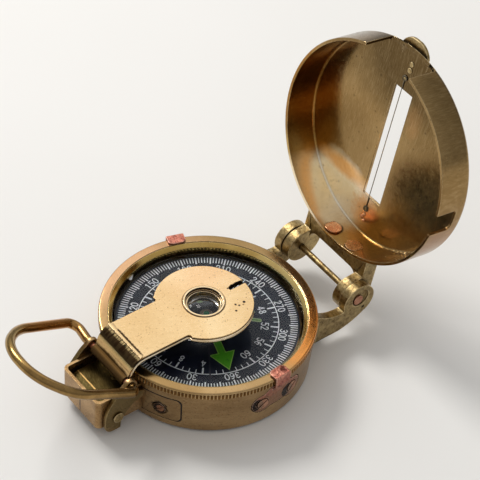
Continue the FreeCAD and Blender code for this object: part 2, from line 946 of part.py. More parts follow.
def lens_bush():
    # Pushed up through the arm, with a sunk lip over the lens and a flange under the plate
    y = arm_disc_y
    top = arm_top + bush_rise
    bottom = arm_top - bush_depth
    seat = lens_radius + turn_gap
    body = disc(seat + bush_wall, bottom, top, 0, y)
    flange = disc(seat + bush_wall + bush_flange, arm_low - bush_flange_height, arm_low, 0, y)
    body = body.fuse(flange)
    lip = top - bush_recess
    mouth = seat + bush_wall - bush_recess_wall
    body = body.cut(disc(mouth, lip, top, 0, y))
    body = body.cut(disc(bush_opening, bottom, top, 0, y))
    return body.cut(disc(seat, bottom, lip - bush_lip, 0, y)).removeSplitter()


def lens_low():
    return arm_top + bush_rise - bush_recess - bush_lip - pin_gap - lens_height


def lens():
    # Flat above and hollowed by a large sphere below
    low = lens_low()
    depth = lens_hollow_depth
    curve = (lens_hollow_radius**2 + depth**2) / (2 * depth)
    hollow = Part.makeSphere(curve, FreeCAD.Vector(0, arm_disc_y, low + depth - curve))
    return disc(lens_radius, low, low + lens_height, 0, arm_disc_y).cut(hollow)


def lens_retaining_ring():
    high = lens_low() - pin_gap
    low = high - keeper_height
    ring = disc(lens_radius, low, high, 0, arm_disc_y)
    return ring.cut(disc(lens_radius - keeper_width, low, high, 0, arm_disc_y))


def rounded_path(points, radii):
    # A flat open path of straight runs joined by tangent arcs
    edges = []
    here = points[0]
    for corner, after, radius in zip(points[1:-1], points[2:], radii):
        into = (corner - here).normalize()
        away = (after - corner).normalize()
        turn = into.getAngle(away)
        reach = radius * math.tan(turn / 2)
        start = corner - into * reach
        end = corner + away * reach
        inward = (away - into).normalize()
        middle = corner + inward * (radius / math.cos(turn / 2) - radius)
        edges.append(Part.LineSegment(here, start).toShape())
        edges.append(Part.Arc(start, middle, end).toShape())
        here = end
    edges.append(Part.LineSegment(here, points[-1]).toShape())
    return Part.Wire(edges)


def thumb_ring():
    # A bent wire loop, fuller on the left, whose ends turn in to the hollow pivot pin
    collar = ear_outer + ring_collar_gap
    corners = [
        (collar, 0),
        (ring_right, 0),
        (ring_right - 0.1, ring_length - 8.7),
        (ring_right - 7.6, ring_length),
        (ring_left + 9.2, ring_length),
        (ring_left + 2.7, ring_length - 8.5),
        (ring_left, -ring_left_bow),
        (-collar - ring_left_run, 0),
        (-collar, 0),
    ]
    bends = [ring_end_bend, 12.0, 12.0, 12.0, 14.0, ring_left_bend, ring_end_bend]
    path = rounded_path([FreeCAD.Vector(x, -reach, 0) for x, reach in corners], bends)
    section_wire = Part.Wire(
        Part.makeCircle(ring_wire, FreeCAD.Vector(collar, 0, 0), FreeCAD.Vector(1, 0, 0))
    )
    body = path.makePipeShell([section_wire], True, False)
    stub = rod_x(pivot_pin_bore - turn_gap, collar - ring_stub_length, collar, 0, 0)
    body = body.fuse([stub, mirrored_x(stub)]).removeSplitter()
    body.rotate(zero, axis_x, -ring_tilt)
    body.translate(FreeCAD.Vector(0, pivot_y, pivot_z))
    return body


def yoke_screw_azimuths():
    return [90 + angle for angle in yoke_screw_angles]


def yoke_shank_low():
    return wall_radius(yoke_screw_height) + saddle_thickness - yoke_screw_length


def yoke_arm():
    y = hinge_y
    z = hinge_z
    inner = yoke_half_width - yoke_ear_thickness
    arm = slab_x(
        inner,
        yoke_half_width,
        (y - 16.6, yoke_low + 0.2),
        (y - 16.6, z + 1.13),
        (y - 13.04, z + 1.13),
        ((y - 9.74, z - 0.82), (y - 5.34, z - 1.62)),
        (y, z),
        (y + 2.66, z - 4.17),
        ((y - 1.64, z - 6.52), (y - 6.44, yoke_low)),
        (y - 9.64, yoke_low),
    )
    ear = rod_x(yoke_ear_radius, inner, yoke_half_width, y, z)
    return arm.fuse(ear).removeSplitter()


def lid_yoke():
    saddle = wall_band(
        saddle_low,
        saddle_high,
        pin_gap,
        saddle_thickness,
        90 - saddle_half_angle,
        90 + saddle_half_angle,
    )
    arm = yoke_arm()
    body = saddle.fuse([arm, mirrored_x(arm)])
    body = body.cut(case_envelope(pin_gap))
    body = body.cut(rod_x(hinge_pin_radius + pin_gap, -far, far, hinge_y, hinge_z))
    pocket_y = hinge_y + hinge_pocket_shift[0]
    pocket_z = hinge_z + hinge_pocket_shift[1]
    pocket_low = yoke_half_width - hinge_pocket_depth
    pocket = rod_x(hinge_pocket_radius, pocket_low, far, pocket_y, pocket_z)
    lock_low = yoke_half_width - lock_pin_length
    lock = rod_x(lock_pin_radius + pin_gap, lock_low, far, lock_pin_y, lock_pin_z)
    body = body.cut([pocket, lock])
    seat = yoke_screw_seat()
    head = yoke_screw_head + pin_gap
    head_top = seat + yoke_head_height + pin_gap
    for azimuth in yoke_screw_azimuths():
        shank = radial_rod(yoke_screw_shank + pin_gap, 0, seat, azimuth, yoke_screw_height)
        body = body.cut([shank, radial_rod(head, seat, head_top, azimuth, yoke_screw_height)])
    return body.removeSplitter()


def yoke_screw_seat():
    return wall_radius(yoke_screw_height) + saddle_thickness - yoke_head_sink


def yoke_screws():
    seat = yoke_screw_seat()
    screws = [
        radial_screw(
            yoke_screw_head,
            yoke_screw_shank,
            seat,
            seat + yoke_head_height,
            yoke_shank_low(),
            azimuth,
            yoke_screw_height,
        )
        for azimuth in yoke_screw_azimuths()
    ]
    return Part.makeCompound(screws)


def lid_hinge_pin():
    right = yoke_half_width - hinge_pocket_depth
    return rod_x(hinge_pin_radius, -yoke_half_width, right, hinge_y, hinge_z)


def hinge_washer():
    # The headed stud that keeps the pin in, at the bottom of the near ear's pocket
    low = yoke_half_width - hinge_pocket_depth
    return rod_x(hinge_washer_radius, low, low + hinge_washer_height, hinge_y, hinge_z)


def lock_pin():
    low = yoke_half_width - lock_pin_length
    return rod_x(lock_pin_radius, low, yoke_half_width - lock_pin_sink, lock_pin_y, lock_pin_z)


def opened(shape):
    moved = shape.copy()
    moved.rotate(FreeCAD.Vector(0, hinge_y, hinge_z), axis_x, -lid_opening)
    return moved


def lid_disc(radius, low, high):
    return disc(radius, low, high, 0, lid_centre_y)


def lid_shell():
    outer_inside = lid_edge * (1 - math.sqrt(0.5))
    inner_edge = lid_edge - lid_wall
    inner_inside = inner_edge * (1 - math.sqrt(0.5))
    body = turned(
        (0, lid_top_z),
        (lid_radius - lid_edge, lid_top_z),
        (
            (lid_radius - outer_inside, lid_top_z - outer_inside),
            (lid_radius, lid_top_z - lid_edge),
        ),
        (lid_radius, lid_rim_z),
        (lid_bore, lid_rim_z),
        (lid_bore, lid_ceiling_z - inner_edge),
        (
            (lid_bore - inner_inside, lid_ceiling_z - inner_inside),
            (lid_bore - inner_edge, lid_ceiling_z),
        ),
        (0, lid_ceiling_z),
    )
    body.translate(FreeCAD.Vector(0, lid_centre_y, 0))
    window = block(
        -sight_window_half,
        sight_window_half,
        sight_window_rear,
        sight_window_front,
        lid_ceiling_z - 1,
        lid_top_z + 1,
    )
    gap = block(
        -lid_gap_half,
        lid_gap_half,
        -lid_radius - 5,
        -lid_radius + 5,
        lid_rim_z - 1,
        lid_ceiling_z - lid_gap_ceiling,
    )
    notch = clip_notch()
    cuts = [window, gap, notch]
    for x in lid_rivet_places():
        cuts.append(lid_rivet_rod(lid_rivet_radius + pin_gap, 0, far, x))
    for x, y in tab_rivet_places():
        cuts.append(disc(tab_rivet_radius + pin_gap, lid_ceiling_z - 1, lid_top_z + 1, x, y))
    for x, y in (wire_pin_rear, wire_pin_front, wire_anchor):
        cuts.append(disc(wire_pin_radius + pin_gap, lid_ceiling_z - 1, lid_top_z + 1, x, y))
    return body.cut(cuts).removeSplitter()


def clip_notch():
    # Room in the lid's wall for the right clip when the lid is shut
    half = clip_notch_half
    top = lid_rim_z + clip_notch_depth
    corner = clip_notch_corner
    inside = corner * (1 - math.sqrt(0.5))
    notch = slab_y(
        -lid_radius - 5,
        -lid_radius + 5,
        (-half, lid_rim_z - 1),
        (half, lid_rim_z - 1),
        (half, top - corner),
        ((half - inside, top - inside), (half - corner, top)),
        (-half + corner, top),
        ((-half + inside, top - inside), (-half, top - corner)),
    )
    notch.rotate(zero, axis_z, clip_notch_azimuth + 90)
    return notch


def lid_rivet_places():
    reach = lid_bore * math.sin(math.radians(lid_rivet_angle))
    return (-reach, reach)


def lid_rivet_rod(radius, low, high, x):
    start = FreeCAD.Vector(x, low, lid_rim_z + lid_rivet_height)
    return Part.makeCylinder(radius, high - low, start, axis_y)


def bracket_bar():
    # The casting's bar behind the lid wall, its corners running out to the knuckles
    low = lid_rim_z + lid_bracket_low
    high = lid_rim_z + lid_bracket_high
    rear = lid_bracket_rear
    corner = knuckle_width * 0.9
    inside = corner * (1 - math.sqrt(0.5))
    return slab_z(
        low,
        high,
        (-knuckle_outer, rear - 8.4),
        (knuckle_outer, rear - 8.4),
        (knuckle_outer, rear + corner),
        (knuckle_inner, rear + corner),
        ((knuckle_inner - inside, rear + inside), (knuckle_inner - corner, rear)),
        (-knuckle_inner + corner, rear),
        ((-knuckle_inner + inside, rear + inside), (-knuckle_inner, rear + corner)),
        (-knuckle_outer, rear + corner),
    )


def bracket_lug():
    # One arm of the casting, from the bar to its knuckle
    y = hinge_y
    z = hinge_z
    low = lid_rim_z + lid_bracket_low
    high = lid_rim_z + lid_bracket_high
    root = lid_bracket_rear - 3.4
    arm = slab_x(
        knuckle_inner,
        knuckle_outer,
        (root, low),
        (lid_bracket_rear, low),
        (y - 4.44, z - 1.57),
        (y, z),
        (y + 3.56, z + 3.03),
        ((y + 1.56, z + 5.33), (y - 1.84, high)),
        (root, high),
    )
    knuckle = rod_x(knuckle_radius, knuckle_inner, knuckle_outer, y, z)
    return arm.fuse(knuckle)


def lid_bracket():
    lug = bracket_lug()
    body = bracket_bar().fuse([lug, mirrored_x(lug)]).removeSplitter()
    body = body.cut(lid_disc(lid_radius + pin_gap, 0, far))
    body = body.cut(rod_x(hinge_pin_radius + turn_gap, -far, far, hinge_y, hinge_z))
    for x in lid_rivet_places():
        body = body.cut(lid_rivet_rod(lid_rivet_radius + pin_gap, 0, far, x))
    return body.removeSplitter()


def lid_rivets():
    rivets = []
    for x in lid_rivet_places():
        inner = lid_centre_y + math.sqrt(lid_bore**2 - x**2)
        tail = lid_bracket_rear
        body = lid_rivet_rod(lid_rivet_radius, inner - lid_rivet_head_height, tail, x)
        head = lid_rivet_rod(lid_rivet_head, inner - lid_rivet_head_height, inner + 1, x)
        head = head.common(lid_disc(lid_bore - pin_gap, lid_rim_z, lid_top_z))
        end = lid_rivet_rod(lid_rivet_head * 0.85, tail, tail + lid_rivet_head_height, x)
        rivets.append(body.fuse([head, end]).removeSplitter())
    return Part.makeCompound(rivets)


def thumb_tab():
    # A small plate with a round nose, on the lid's outer face
    half = thumb_tab_half
    tip = lid_centre_y - lid_radius - thumb_tab_reach
    shoulder = tip + half * 0.62
    slant = half * 0.62
    return slab_z(
        lid_top_z,
        lid_top_z + thumb_tab_thickness,
        (thumb_tab_x - half, thumb_tab_inner),
        (thumb_tab_x + half, thumb_tab_inner),
        (thumb_tab_x + half, shoulder),
        ((thumb_tab_x + slant, tip + half * 0.14), (thumb_tab_x, tip)),
        ((thumb_tab_x - slant, tip + half * 0.14), (thumb_tab_x - half, shoulder)),
    )


def tab_rivet_places():
    x, y = tab_rivets_rear
    return [(x, y), (x, y - tab_rivet_spacing)]


def lid_thumb_tab():
    body = thumb_tab()
    for x, y in tab_rivet_places():
        body = body.cut(disc(tab_rivet_radius + pin_gap, lid_top_z - 1, lid_top_z + 3, x, y))
    return body


def tab_rivets():
    rivets = []
    top = lid_top_z + thumb_tab_thickness
    for x, y in tab_rivet_places():
        body = disc(tab_rivet_radius, lid_ceiling_z, top, x, y)
        head = disc(tab_rivet_head, top, top + tab_rivet_head_height, x, y)
        end = disc(tab_rivet_head, lid_ceiling_z - tab_rivet_head_height / 2, lid_ceiling_z, x, y)
        rivets.append(body.fuse([head, end]).removeSplitter())
    return Part.makeCompound(rivets)


def sight_wire():
    # A straight hair with a closed eye round each pin
    z = lid_ceiling_z - sight_wire_drop
    start = FreeCAD.Vector(wire_pin_rear[0], wire_pin_rear[1], z)
    end = FreeCAD.Vector(wire_pin_front[0], wire_pin_front[1], z)
    along = (end - start).normalize()
    first = start + along * wire_loop_radius
    length = (end - start).Length - 2 * wire_loop_radius
    body = Part.makeCylinder(sight_wire_radius, length, first, along)
    for centre in (start, end):
        body = body.fuse(Part.makeTorus(wire_loop_radius, sight_wire_radius, centre, axis_z))
    return body.removeSplitter()


def wire_pins():
    # The wire's eyes sit on two of them; the third holds its loose tail
    pins = []
    low = lid_ceiling_z - sight_wire_drop - sight_wire_radius - 0.03
    for x, y in (wire_pin_rear, wire_pin_front, wire_anchor):
        body = disc(wire_pin_radius, low, lid_top_z, x, y)
        head = disc(wire_pin_head, lid_top_z, lid_top_z + wire_pin_head_height, x, y)
        pins.append(body.fuse(head).removeSplitter())
    return Part.makeCompound(pins)


nodes = {
    "case_body": case_body(),
    "pivot_post": pivot_post(),
    "pivot_needle": pivot_needle(),
    "dial_card": dial_card(),
    "dial_hub": dial_hub(),
    "jewel_cup": jewel_cup(),
    "magnet_bars": magnet_bars(),
    "bezel_ring": bezel_ring(),
    "bezel_glass": bezel_glass(),
    "glass_retaining_ring": glass_retaining_ring(),
    "bezel_clip_right": bezel_clip(clip_azimuths[0]),
    "bezel_clip_left": bezel_clip(clip_azimuths[1]),
    "clip_screws": clip_screws(),
    "rear_bracket": rear_bracket(),
    "bracket_screws": bracket_screws(),
    "hinge_tray": hinge_tray(),
    "tray_rivets": tray_rivets(),
    "arm_spring": arm_spring(),
    "spring_rivet": spring_rivet(),
    "lens_arm_pin": lens_arm_pin(),
    "lens_arm": lens_arm(),
    "lens_bush": lens_bush(),
    "lens": lens(),
    "lens_retaining_ring": lens_retaining_ring(),
    "thumb_ring": thumb_ring(),
    "lid_yoke": lid_yoke(),
    "yoke_screws": yoke_screws(),
    "lid_hinge_pin": lid_hinge_pin(),
    "hinge_washer": hinge_washer(),
    "lock_pin": lock_pin(),
    "lid_shell": opened(lid_shell()),
    "lid_bracket": opened(lid_bracket()),
    "lid_rivets": opened(lid_rivets()),
    "lid_thumb_tab": opened(lid_thumb_tab()),
    "tab_rivets": opened(tab_rivets()),
    "sight_wire": opened(sight_wire()),
    "wire_pins": opened(wire_pins()),
}

os.makedirs("parts", exist_ok=True)
for name, shape in nodes.items():
    shape.exportStep(f"parts/{name}.step")
    print(name, len(shape.Solids), shape.isValid(), round(shape.Volume, 2))
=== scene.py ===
import bpy
import bmesh
import json
import math
from mathutils import Matrix, Vector, noise
from mathutils.bvhtree import BVHTree

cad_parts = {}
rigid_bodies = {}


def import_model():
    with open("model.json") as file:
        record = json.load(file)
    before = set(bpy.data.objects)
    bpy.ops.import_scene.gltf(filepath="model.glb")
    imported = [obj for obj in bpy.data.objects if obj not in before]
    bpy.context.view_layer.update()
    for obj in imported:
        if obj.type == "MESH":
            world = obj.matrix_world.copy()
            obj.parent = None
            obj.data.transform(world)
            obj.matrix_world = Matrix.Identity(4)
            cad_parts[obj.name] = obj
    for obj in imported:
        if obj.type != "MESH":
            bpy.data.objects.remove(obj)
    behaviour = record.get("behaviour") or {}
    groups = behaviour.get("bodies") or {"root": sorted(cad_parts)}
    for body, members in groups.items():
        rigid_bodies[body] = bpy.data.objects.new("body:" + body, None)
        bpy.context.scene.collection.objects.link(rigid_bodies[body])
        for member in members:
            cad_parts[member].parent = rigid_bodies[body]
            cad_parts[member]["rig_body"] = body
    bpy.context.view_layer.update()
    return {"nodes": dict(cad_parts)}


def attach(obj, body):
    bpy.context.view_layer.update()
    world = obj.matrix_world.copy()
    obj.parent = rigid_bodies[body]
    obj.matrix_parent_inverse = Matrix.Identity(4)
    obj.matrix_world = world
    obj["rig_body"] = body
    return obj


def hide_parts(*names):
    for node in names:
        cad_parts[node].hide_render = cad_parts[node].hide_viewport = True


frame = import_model()
print("frame loaded with", len(frame["nodes"]), "nodes")

mm = 0.001
scene = bpy.context.scene

hinge = {
    "y": 38.64,
    "z": 10.57,
    "open": 100.78,      # degrees from shut to the way it rests
}


def paint(red, green, blue):
    # a colour as it shows on a screen, 0 to 255, to the linear values that shaders take
    tone = []
    for value in (red, green, blue):
        v = value / 255
        tone.append(v / 12.92 if v <= 0.04045 else ((v + 0.055) / 1.055) ** 2.4)
    return (tone[0], tone[1], tone[2], 1.0)


def lidPoint(x, y, z):
    # a place in the shut lid, in mm, to where it is with the lid at rest
    turn = -math.radians(hinge["open"])
    dy = y - hinge["y"]
    dz = z - hinge["z"]
    return (
        x,
        hinge["y"] + dy * math.cos(turn) - dz * math.sin(turn),
        hinge["z"] + dy * math.sin(turn) + dz * math.cos(turn),
    )


# Shader helpers

class NodeSheet:
    # the node tree of a material or a world, with short ways to add and join nodes
    def __init__(self, owner):
        owner.use_nodes = True
        self.owner = owner
        self.tree = owner.node_tree
        self.tree.nodes.clear()
        self.coord = self.tree.nodes.new("ShaderNodeTexCoord")
        self.step = 0

    def add(self, kind, inputs, **settings):
        # for each input, a node's output is linked and a plain value is written
        node = self.tree.nodes.new(kind)
        self.step += 1
        node.location = (self.step % 12 * 200, -(self.step // 12) * 260)
        for key, value in settings.items():
            setattr(node, key, value)
        for key, value in inputs.items():
            if isinstance(value, bpy.types.NodeSocket):
                self.tree.links.new(value, node.inputs[key])
            else:
                node.inputs[key].default_value = value
        return node

    def place(self, scale=(1, 1, 1), turn=(0, 0, 0)):
        # object coordinates in millimetres, turned and then stretched
        whole = self.add("ShaderNodeMapping", {
            "Vector": self.coord.outputs["Object"],
            "Scale": [1 / mm] * 3,
            "Rotation": [math.radians(t) for t in turn],
        })
        return self.vector("MULTIPLY", whole.outputs[0], scale).outputs[0]

    def vector(self, kind, a, b=(0, 0, 0)):
        return self.add("ShaderNodeVectorMath", {0: a, 1: b}, operation=kind)

    def noise(self, vector, scale, detail=4.0, rough=0.55, twist=0.0):
        return self.add("ShaderNodeTexNoise", {
            "Vector": vector, "Scale": scale, "Detail": detail, "Roughness": rough, "Distortion": twist,
        }).outputs["Fac"]

    def cells(self, vector, scale):
        return self.add("ShaderNodeTexVoronoi", {"Vector": vector, "Scale": scale}).outputs["Distance"]

    def span(self, value, low, high, outLow=0.0, outHigh=1.0, **settings):
        return self.add("ShaderNodeMapRange", {
            "Value": value, "From Min": low, "From Max": high, "To Min": outLow, "To Max": outHigh,
        }, **settings).outputs[0]

    def sum(self, kind, a, b):
        return self.add("ShaderNodeMath", {0: a, 1: b}, operation=kind).outputs[0]

    def times(self, a, b):
        return self.sum("MULTIPLY", a, b)

    def blend(self, share, a, b):
        return self.add("ShaderNodeMix", {"Factor": share, 6: a, 7: b}, data_type="RGBA").outputs[2]

    def patch(self, plain, spot):
        # 1 inside a stain's oval, fading out over its soft, ragged border
        away = self.vector("SUBTRACT", plain, spot["at"])
        oval = self.vector("DIVIDE", away.outputs[0], spot["size"])
        reach = self.vector("LENGTH", oval.outputs[0]).outputs["Value"]
        if spot["ragged"]:
            far, scale = spot["ragged"]
            wave = self.noise(plain, scale, 4.0, 0.6)
            reach = self.sum("ADD", reach, self.span(wave, 0.25, 0.75, -far, far))
        soft = spot["soft"]
        share = self.span(reach, 1.0 + soft / 2, 1.0 - soft / 2)
        if "hole" in spot:
            share = self.times(share, self.span(reach, spot["hole"] - 0.05, spot["hole"]))
        if "grain" in spot:
            scale, turn, low, high = spot["grain"]
            line = self.noise(self.place(scale, turn), 1.0, 3.0, 0.6, 0.2)
            share = self.times(share, self.span(line, low, high))
        return self.times(share, spot["share"])

    def corners(self, reach):
        # 1 in creases and under overhangs, 0 in the open
        node = self.add("ShaderNodeAmbientOcclusion", {"Distance": reach * mm}, samples=6)
        return self.span(node.outputs["AO"], 0.30, 0.90, 1.0, 0.0)

    def rounded(self, radius):
        return self.add("ShaderNodeBevel", {"Radius": radius * mm}, samples=4).outputs["Normal"]

    def edges(self, roundNormal):
        # where the rounded normal leaves the true one: the worn edges, which also take a painted highlight
        geometry = self.add("ShaderNodeNewGeometry", {})
        dot = self.vector("DOT_PRODUCT", geometry.outputs["Normal"], roundNormal)
        return self.span(dot.outputs["Value"], 0.997, 0.93)

    def bump(self, height, strength, distance, under=None):
        node = self.add("ShaderNodeBump", {"Height": height, "Strength": strength, "Distance": distance * mm})
        if under is not None:
            self.tree.links.new(under, node.inputs["Normal"])
        return node.outputs[0]

    def finish(self, inputs):
        shader = self.add("ShaderNodeBsdfPrincipled", inputs)
        self.add("ShaderNodeOutputMaterial", {"Surface": shader.outputs[0]})
        return self.owner


def newSheet(name):
    return NodeSheet(bpy.data.materials.new(name))


def stain(at, size, colour, share, soft, ragged=None, **more):
    # an oval stain round a place, its half widths in mm
    #   soft     how much of its reach the border takes
    #   ragged   how far the border wanders, and the scale of that noise
    #   hole     share of its reach inside which it stays clean
    #   grain    stretch, turn, low and high of a noise that breaks it up
    return dict(more, at=at, size=size, colour=paint(*colour), share=share, soft=soft, ragged=ragged)


# A finish names its five tones (dark, middle, bright, grime that also paints crease shade, worn edge that
# also paints edge highlights), its roughness, and what differs from this
usualLook = {
    "streak": (1, 1, 1),         # stretch of the slow drift from dark to bright
    "cloudScale": 0.10,
    "mottleScale": 1.4,
    "mottleTone": 0.22,
    "patches": (),               # stains under the wear
    # the stains laid over the wear include painted shade as well as soot
    "sootAndShade": (),                  # stains over it
    "brush": ((0.5, 7.0, 7.0), (0, 0, 20)),
    "brushTone": 0.10,
    "brushStrength": 0.20,
    "nicks": ((2.6, 0.16, (0, 0, 35)), (1.9, 0.14, (30, 0, -50))),       # length, width, turn
    "nickTone": 0.45,
    "pitScale": 1.1,
    "pitTone": 0.6,
    "creaseReach": 1.0,
    "edgeRadius": 0.18,
    "edgeTone": 0.75,
    "brightCorners": False,
    "metallic": 1.0,
    "lumpScale": 1.2,
    "lumpStrength": 0.25,
    "lumpHeight": 0.04,
}


def wornMetal(name, own):
    # Old brass or copper: a tone that drifts, fine mottling, local stains, nicks, pits, creases with dirt
    # and painted shade, and worn edges with a painted highlight
    look = {**usualLook, **own}
    dark, middle, bright, grimeAndShade, shine = [paint(*tone) for tone in look["tones"]]
    sheet = newSheet(name)
    plain = sheet.place()
    cloud = sheet.noise(sheet.place(look["streak"]), look["cloudScale"], 3.0, 0.55, 0.5)
    mottle = sheet.noise(plain, look["mottleScale"], 6.0, 0.65)
    colour = sheet.blend(sheet.span(cloud, 0.34, 0.52), dark, middle)
    colour = sheet.blend(sheet.span(cloud, 0.50, 0.68), colour, bright)
    fine = sheet.blend(sheet.span(mottle, 0.36, 0.64), dark, bright)
    colour = sheet.blend(look["mottleTone"], colour, fine)
    for spot in look["patches"]:
        colour = sheet.blend(sheet.patch(plain, spot), colour, spot["colour"])

    brushed = sheet.noise(sheet.place(*look["brush"]), 1.0, 3.0, 0.6, 0.1)
    colour = sheet.blend(sheet.span(brushed, 0.50, 0.68, 0.0, look["brushTone"]), colour, grimeAndShade)
    colour = sheet.blend(sheet.span(brushed, 0.50, 0.34, 0.0, look["brushTone"]), colour, shine)

    nick = None
    for length, width, turn in look["nicks"]:
        # short thin marks, one to each stretched cell
        scale = (1 / length, 1 / width / 7, 1 / length)
        mark = sheet.span(sheet.cells(sheet.place(scale, turn), 1.0), 0.13, 0.07)
        nick = mark if nick is None else sheet.sum("MAXIMUM", nick, mark)
    nick = sheet.times(nick, look["nickTone"])
    colour = sheet.blend(nick, colour, grimeAndShade)

    chosen = sheet.span(sheet.noise(plain, 0.30, 3.0), 0.50, 0.60)
    pit = sheet.times(sheet.span(sheet.cells(plain, look["pitScale"]), 0.17, 0.08), chosen)
    colour = sheet.blend(sheet.times(pit, look["pitTone"]), colour, grimeAndShade)

    # dirt and painted shade: creases and places under overhangs go towards the grime tone
    crease = sheet.corners(look["creaseReach"])
    dirtAndShade = sheet.times(crease, sheet.span(mottle, 0.30, 0.62, 0.55, 1.0))
    colour = sheet.blend(sheet.times(dirtAndShade, 0.9), colour, grimeAndShade)

    # worn edges and painted highlight: the edges go towards the worn-edge tone
    smooth = sheet.rounded(look["edgeRadius"])
    edge = sheet.edges(smooth)
    # unless brightCorners is set, the painted edge highlight stays out of creases
    if not look["brightCorners"]:
        edge = sheet.times(edge, sheet.span(crease, 0.2, 0.6, 1.0, 0.0))
    wornAndHighlit = sheet.times(edge, sheet.span(mottle, 0.34, 0.58, 0.35, 1.0))
    colour = sheet.blend(sheet.times(wornAndHighlit, look["edgeTone"]), colour, shine)

    dull = None
    for spot in look["sootAndShade"]:
        # lies over the worn edges too, and dulls them
        mask = sheet.patch(plain, spot)
        colour = sheet.blend(mask, colour, spot["colour"])
        dull = mask if dull is None else sheet.sum("MAXIMUM", dull, mask)

    rough = sheet.span(mottle, 0.30, 0.70, *look["roughness"])
    rough = sheet.sum("ADD", rough, sheet.times(dirtAndShade, 0.30))
    rough = sheet.sum("ADD", rough, sheet.times(nick, 0.20))
    if dull is not None:
        rough = sheet.sum("MAXIMUM", rough, sheet.times(dull, 0.6))

    lumps = sheet.noise(plain, look["lumpScale"], 4.0, 0.55)
    normal = sheet.bump(lumps, look["lumpStrength"], look["lumpHeight"], smooth)
    normal = sheet.bump(brushed, look["brushStrength"], 0.01, normal)
    marks = sheet.sum("SUBTRACT", sheet.times(nick, -0.6), pit)
    normal = sheet.bump(marks, 0.5, 0.03, normal)
    return sheet.finish({
        "Base Color": colour,
        "Metallic": look["metallic"],
        "Roughness": rough,
        "Normal": normal,
    })


# Finishes

agedBrass = wornMetal("agedBrass", {
    "tones": ((150, 119, 80), (172, 140, 98), (192, 160, 116), (34, 24, 13), (240, 212, 164)),
    "cloudScale": 0.05, "streak": (1, 1, 2.2), "brush": ((0.35, 0.35, 6.0), (0, 0, 0)),
    "nicks": ((2.4, 0.15, (0, 70, 25)), (1.8, 0.13, (60, 0, -50))), "roughness": (0.24, 0.38),
})

bracketBrass = wornMetal("bracketBrass", {
    "tones": ((144, 113, 76), (168, 136, 94), (188, 156, 112), (30, 20, 11), (236, 206, 158)),
    "cloudScale": 0.08, "creaseReach": 0.7, "edgeTone": 0.5,
    "patches": (
        # the ears are a dull olive
        *(stain((x, -34.0, 9.0), (2.6, 7.0, 8.0), (112, 96, 54), 0.8, 0.3, (0.3, 0.5)) for x in (9.6, -9.6)),
        # painted shade round the sunk screws, in their pockets
        *(stain((x, -24.8, 6.5), (2.3, 2.3, 2.4), (30, 18, 10), 0.92, 0.3, (0.35, 0.9))
          for x in (13.1, -13.1)),
    ),
    "nicks": ((2.2, 0.15, (0, 70, 25)), (1.6, 0.13, (60, 0, -50))), "roughness": (0.24, 0.38),
})

bezelBrass = wornMetal("bezelBrass", {
    "tones": ((152, 119, 76), (171, 139, 94), (190, 159, 113), (70, 42, 20), (255, 226, 176)),
    "cloudScale": 0.035, "mottleTone": 0.12,
    "patches": (
        stain((22.0, 19.0, 15.5), (11, 12, 5), (255, 168, 84), 0.9, 1.0, (0.2, 0.15)),
        stain((-26.0, -9.0, 16.0), (12, 18, 4), (226, 180, 138), 0.75, 1.2, (0.2, 0.15)),
        stain((-16.0, 24.0, 16.0), (14, 9, 4), (150, 122, 78), 0.7, 1.0, (0.2, 0.15)),
        stain((8.0, -28.0, 16.0), (24, 9, 4), (158, 128, 80), 0.6, 1.0, (0.2, 0.15)),
    ),
    "brushTone": 0.04, "brushStrength": 0.08, "nickTone": 0.25, "pitTone": 0.3, "creaseReach": 0.35,
    "roughness": (0.16, 0.26), "lumpHeight": 0.02,
})

grooveBrass = wornMetal("grooveBrass", {
    "tones": ((108, 74, 36), (136, 97, 52), (166, 124, 74), (30, 18, 8), (190, 150, 90)),
    "edgeTone": 0.2, "roughness": (0.35, 0.5),
})

coneBrass = wornMetal("coneBrass", {
    "tones": ((196, 158, 84), (222, 188, 112), (242, 216, 146), (74, 50, 20), (255, 240, 196)),
    "cloudScale": 0.05, "mottleTone": 0.08, "brushTone": 0.03, "brushStrength": 0.05,
    "nickTone": 0.2, "pitTone": 0.2, "creaseReach": 0.3, "roughness": (0.10, 0.20), "lumpHeight": 0.015,
})

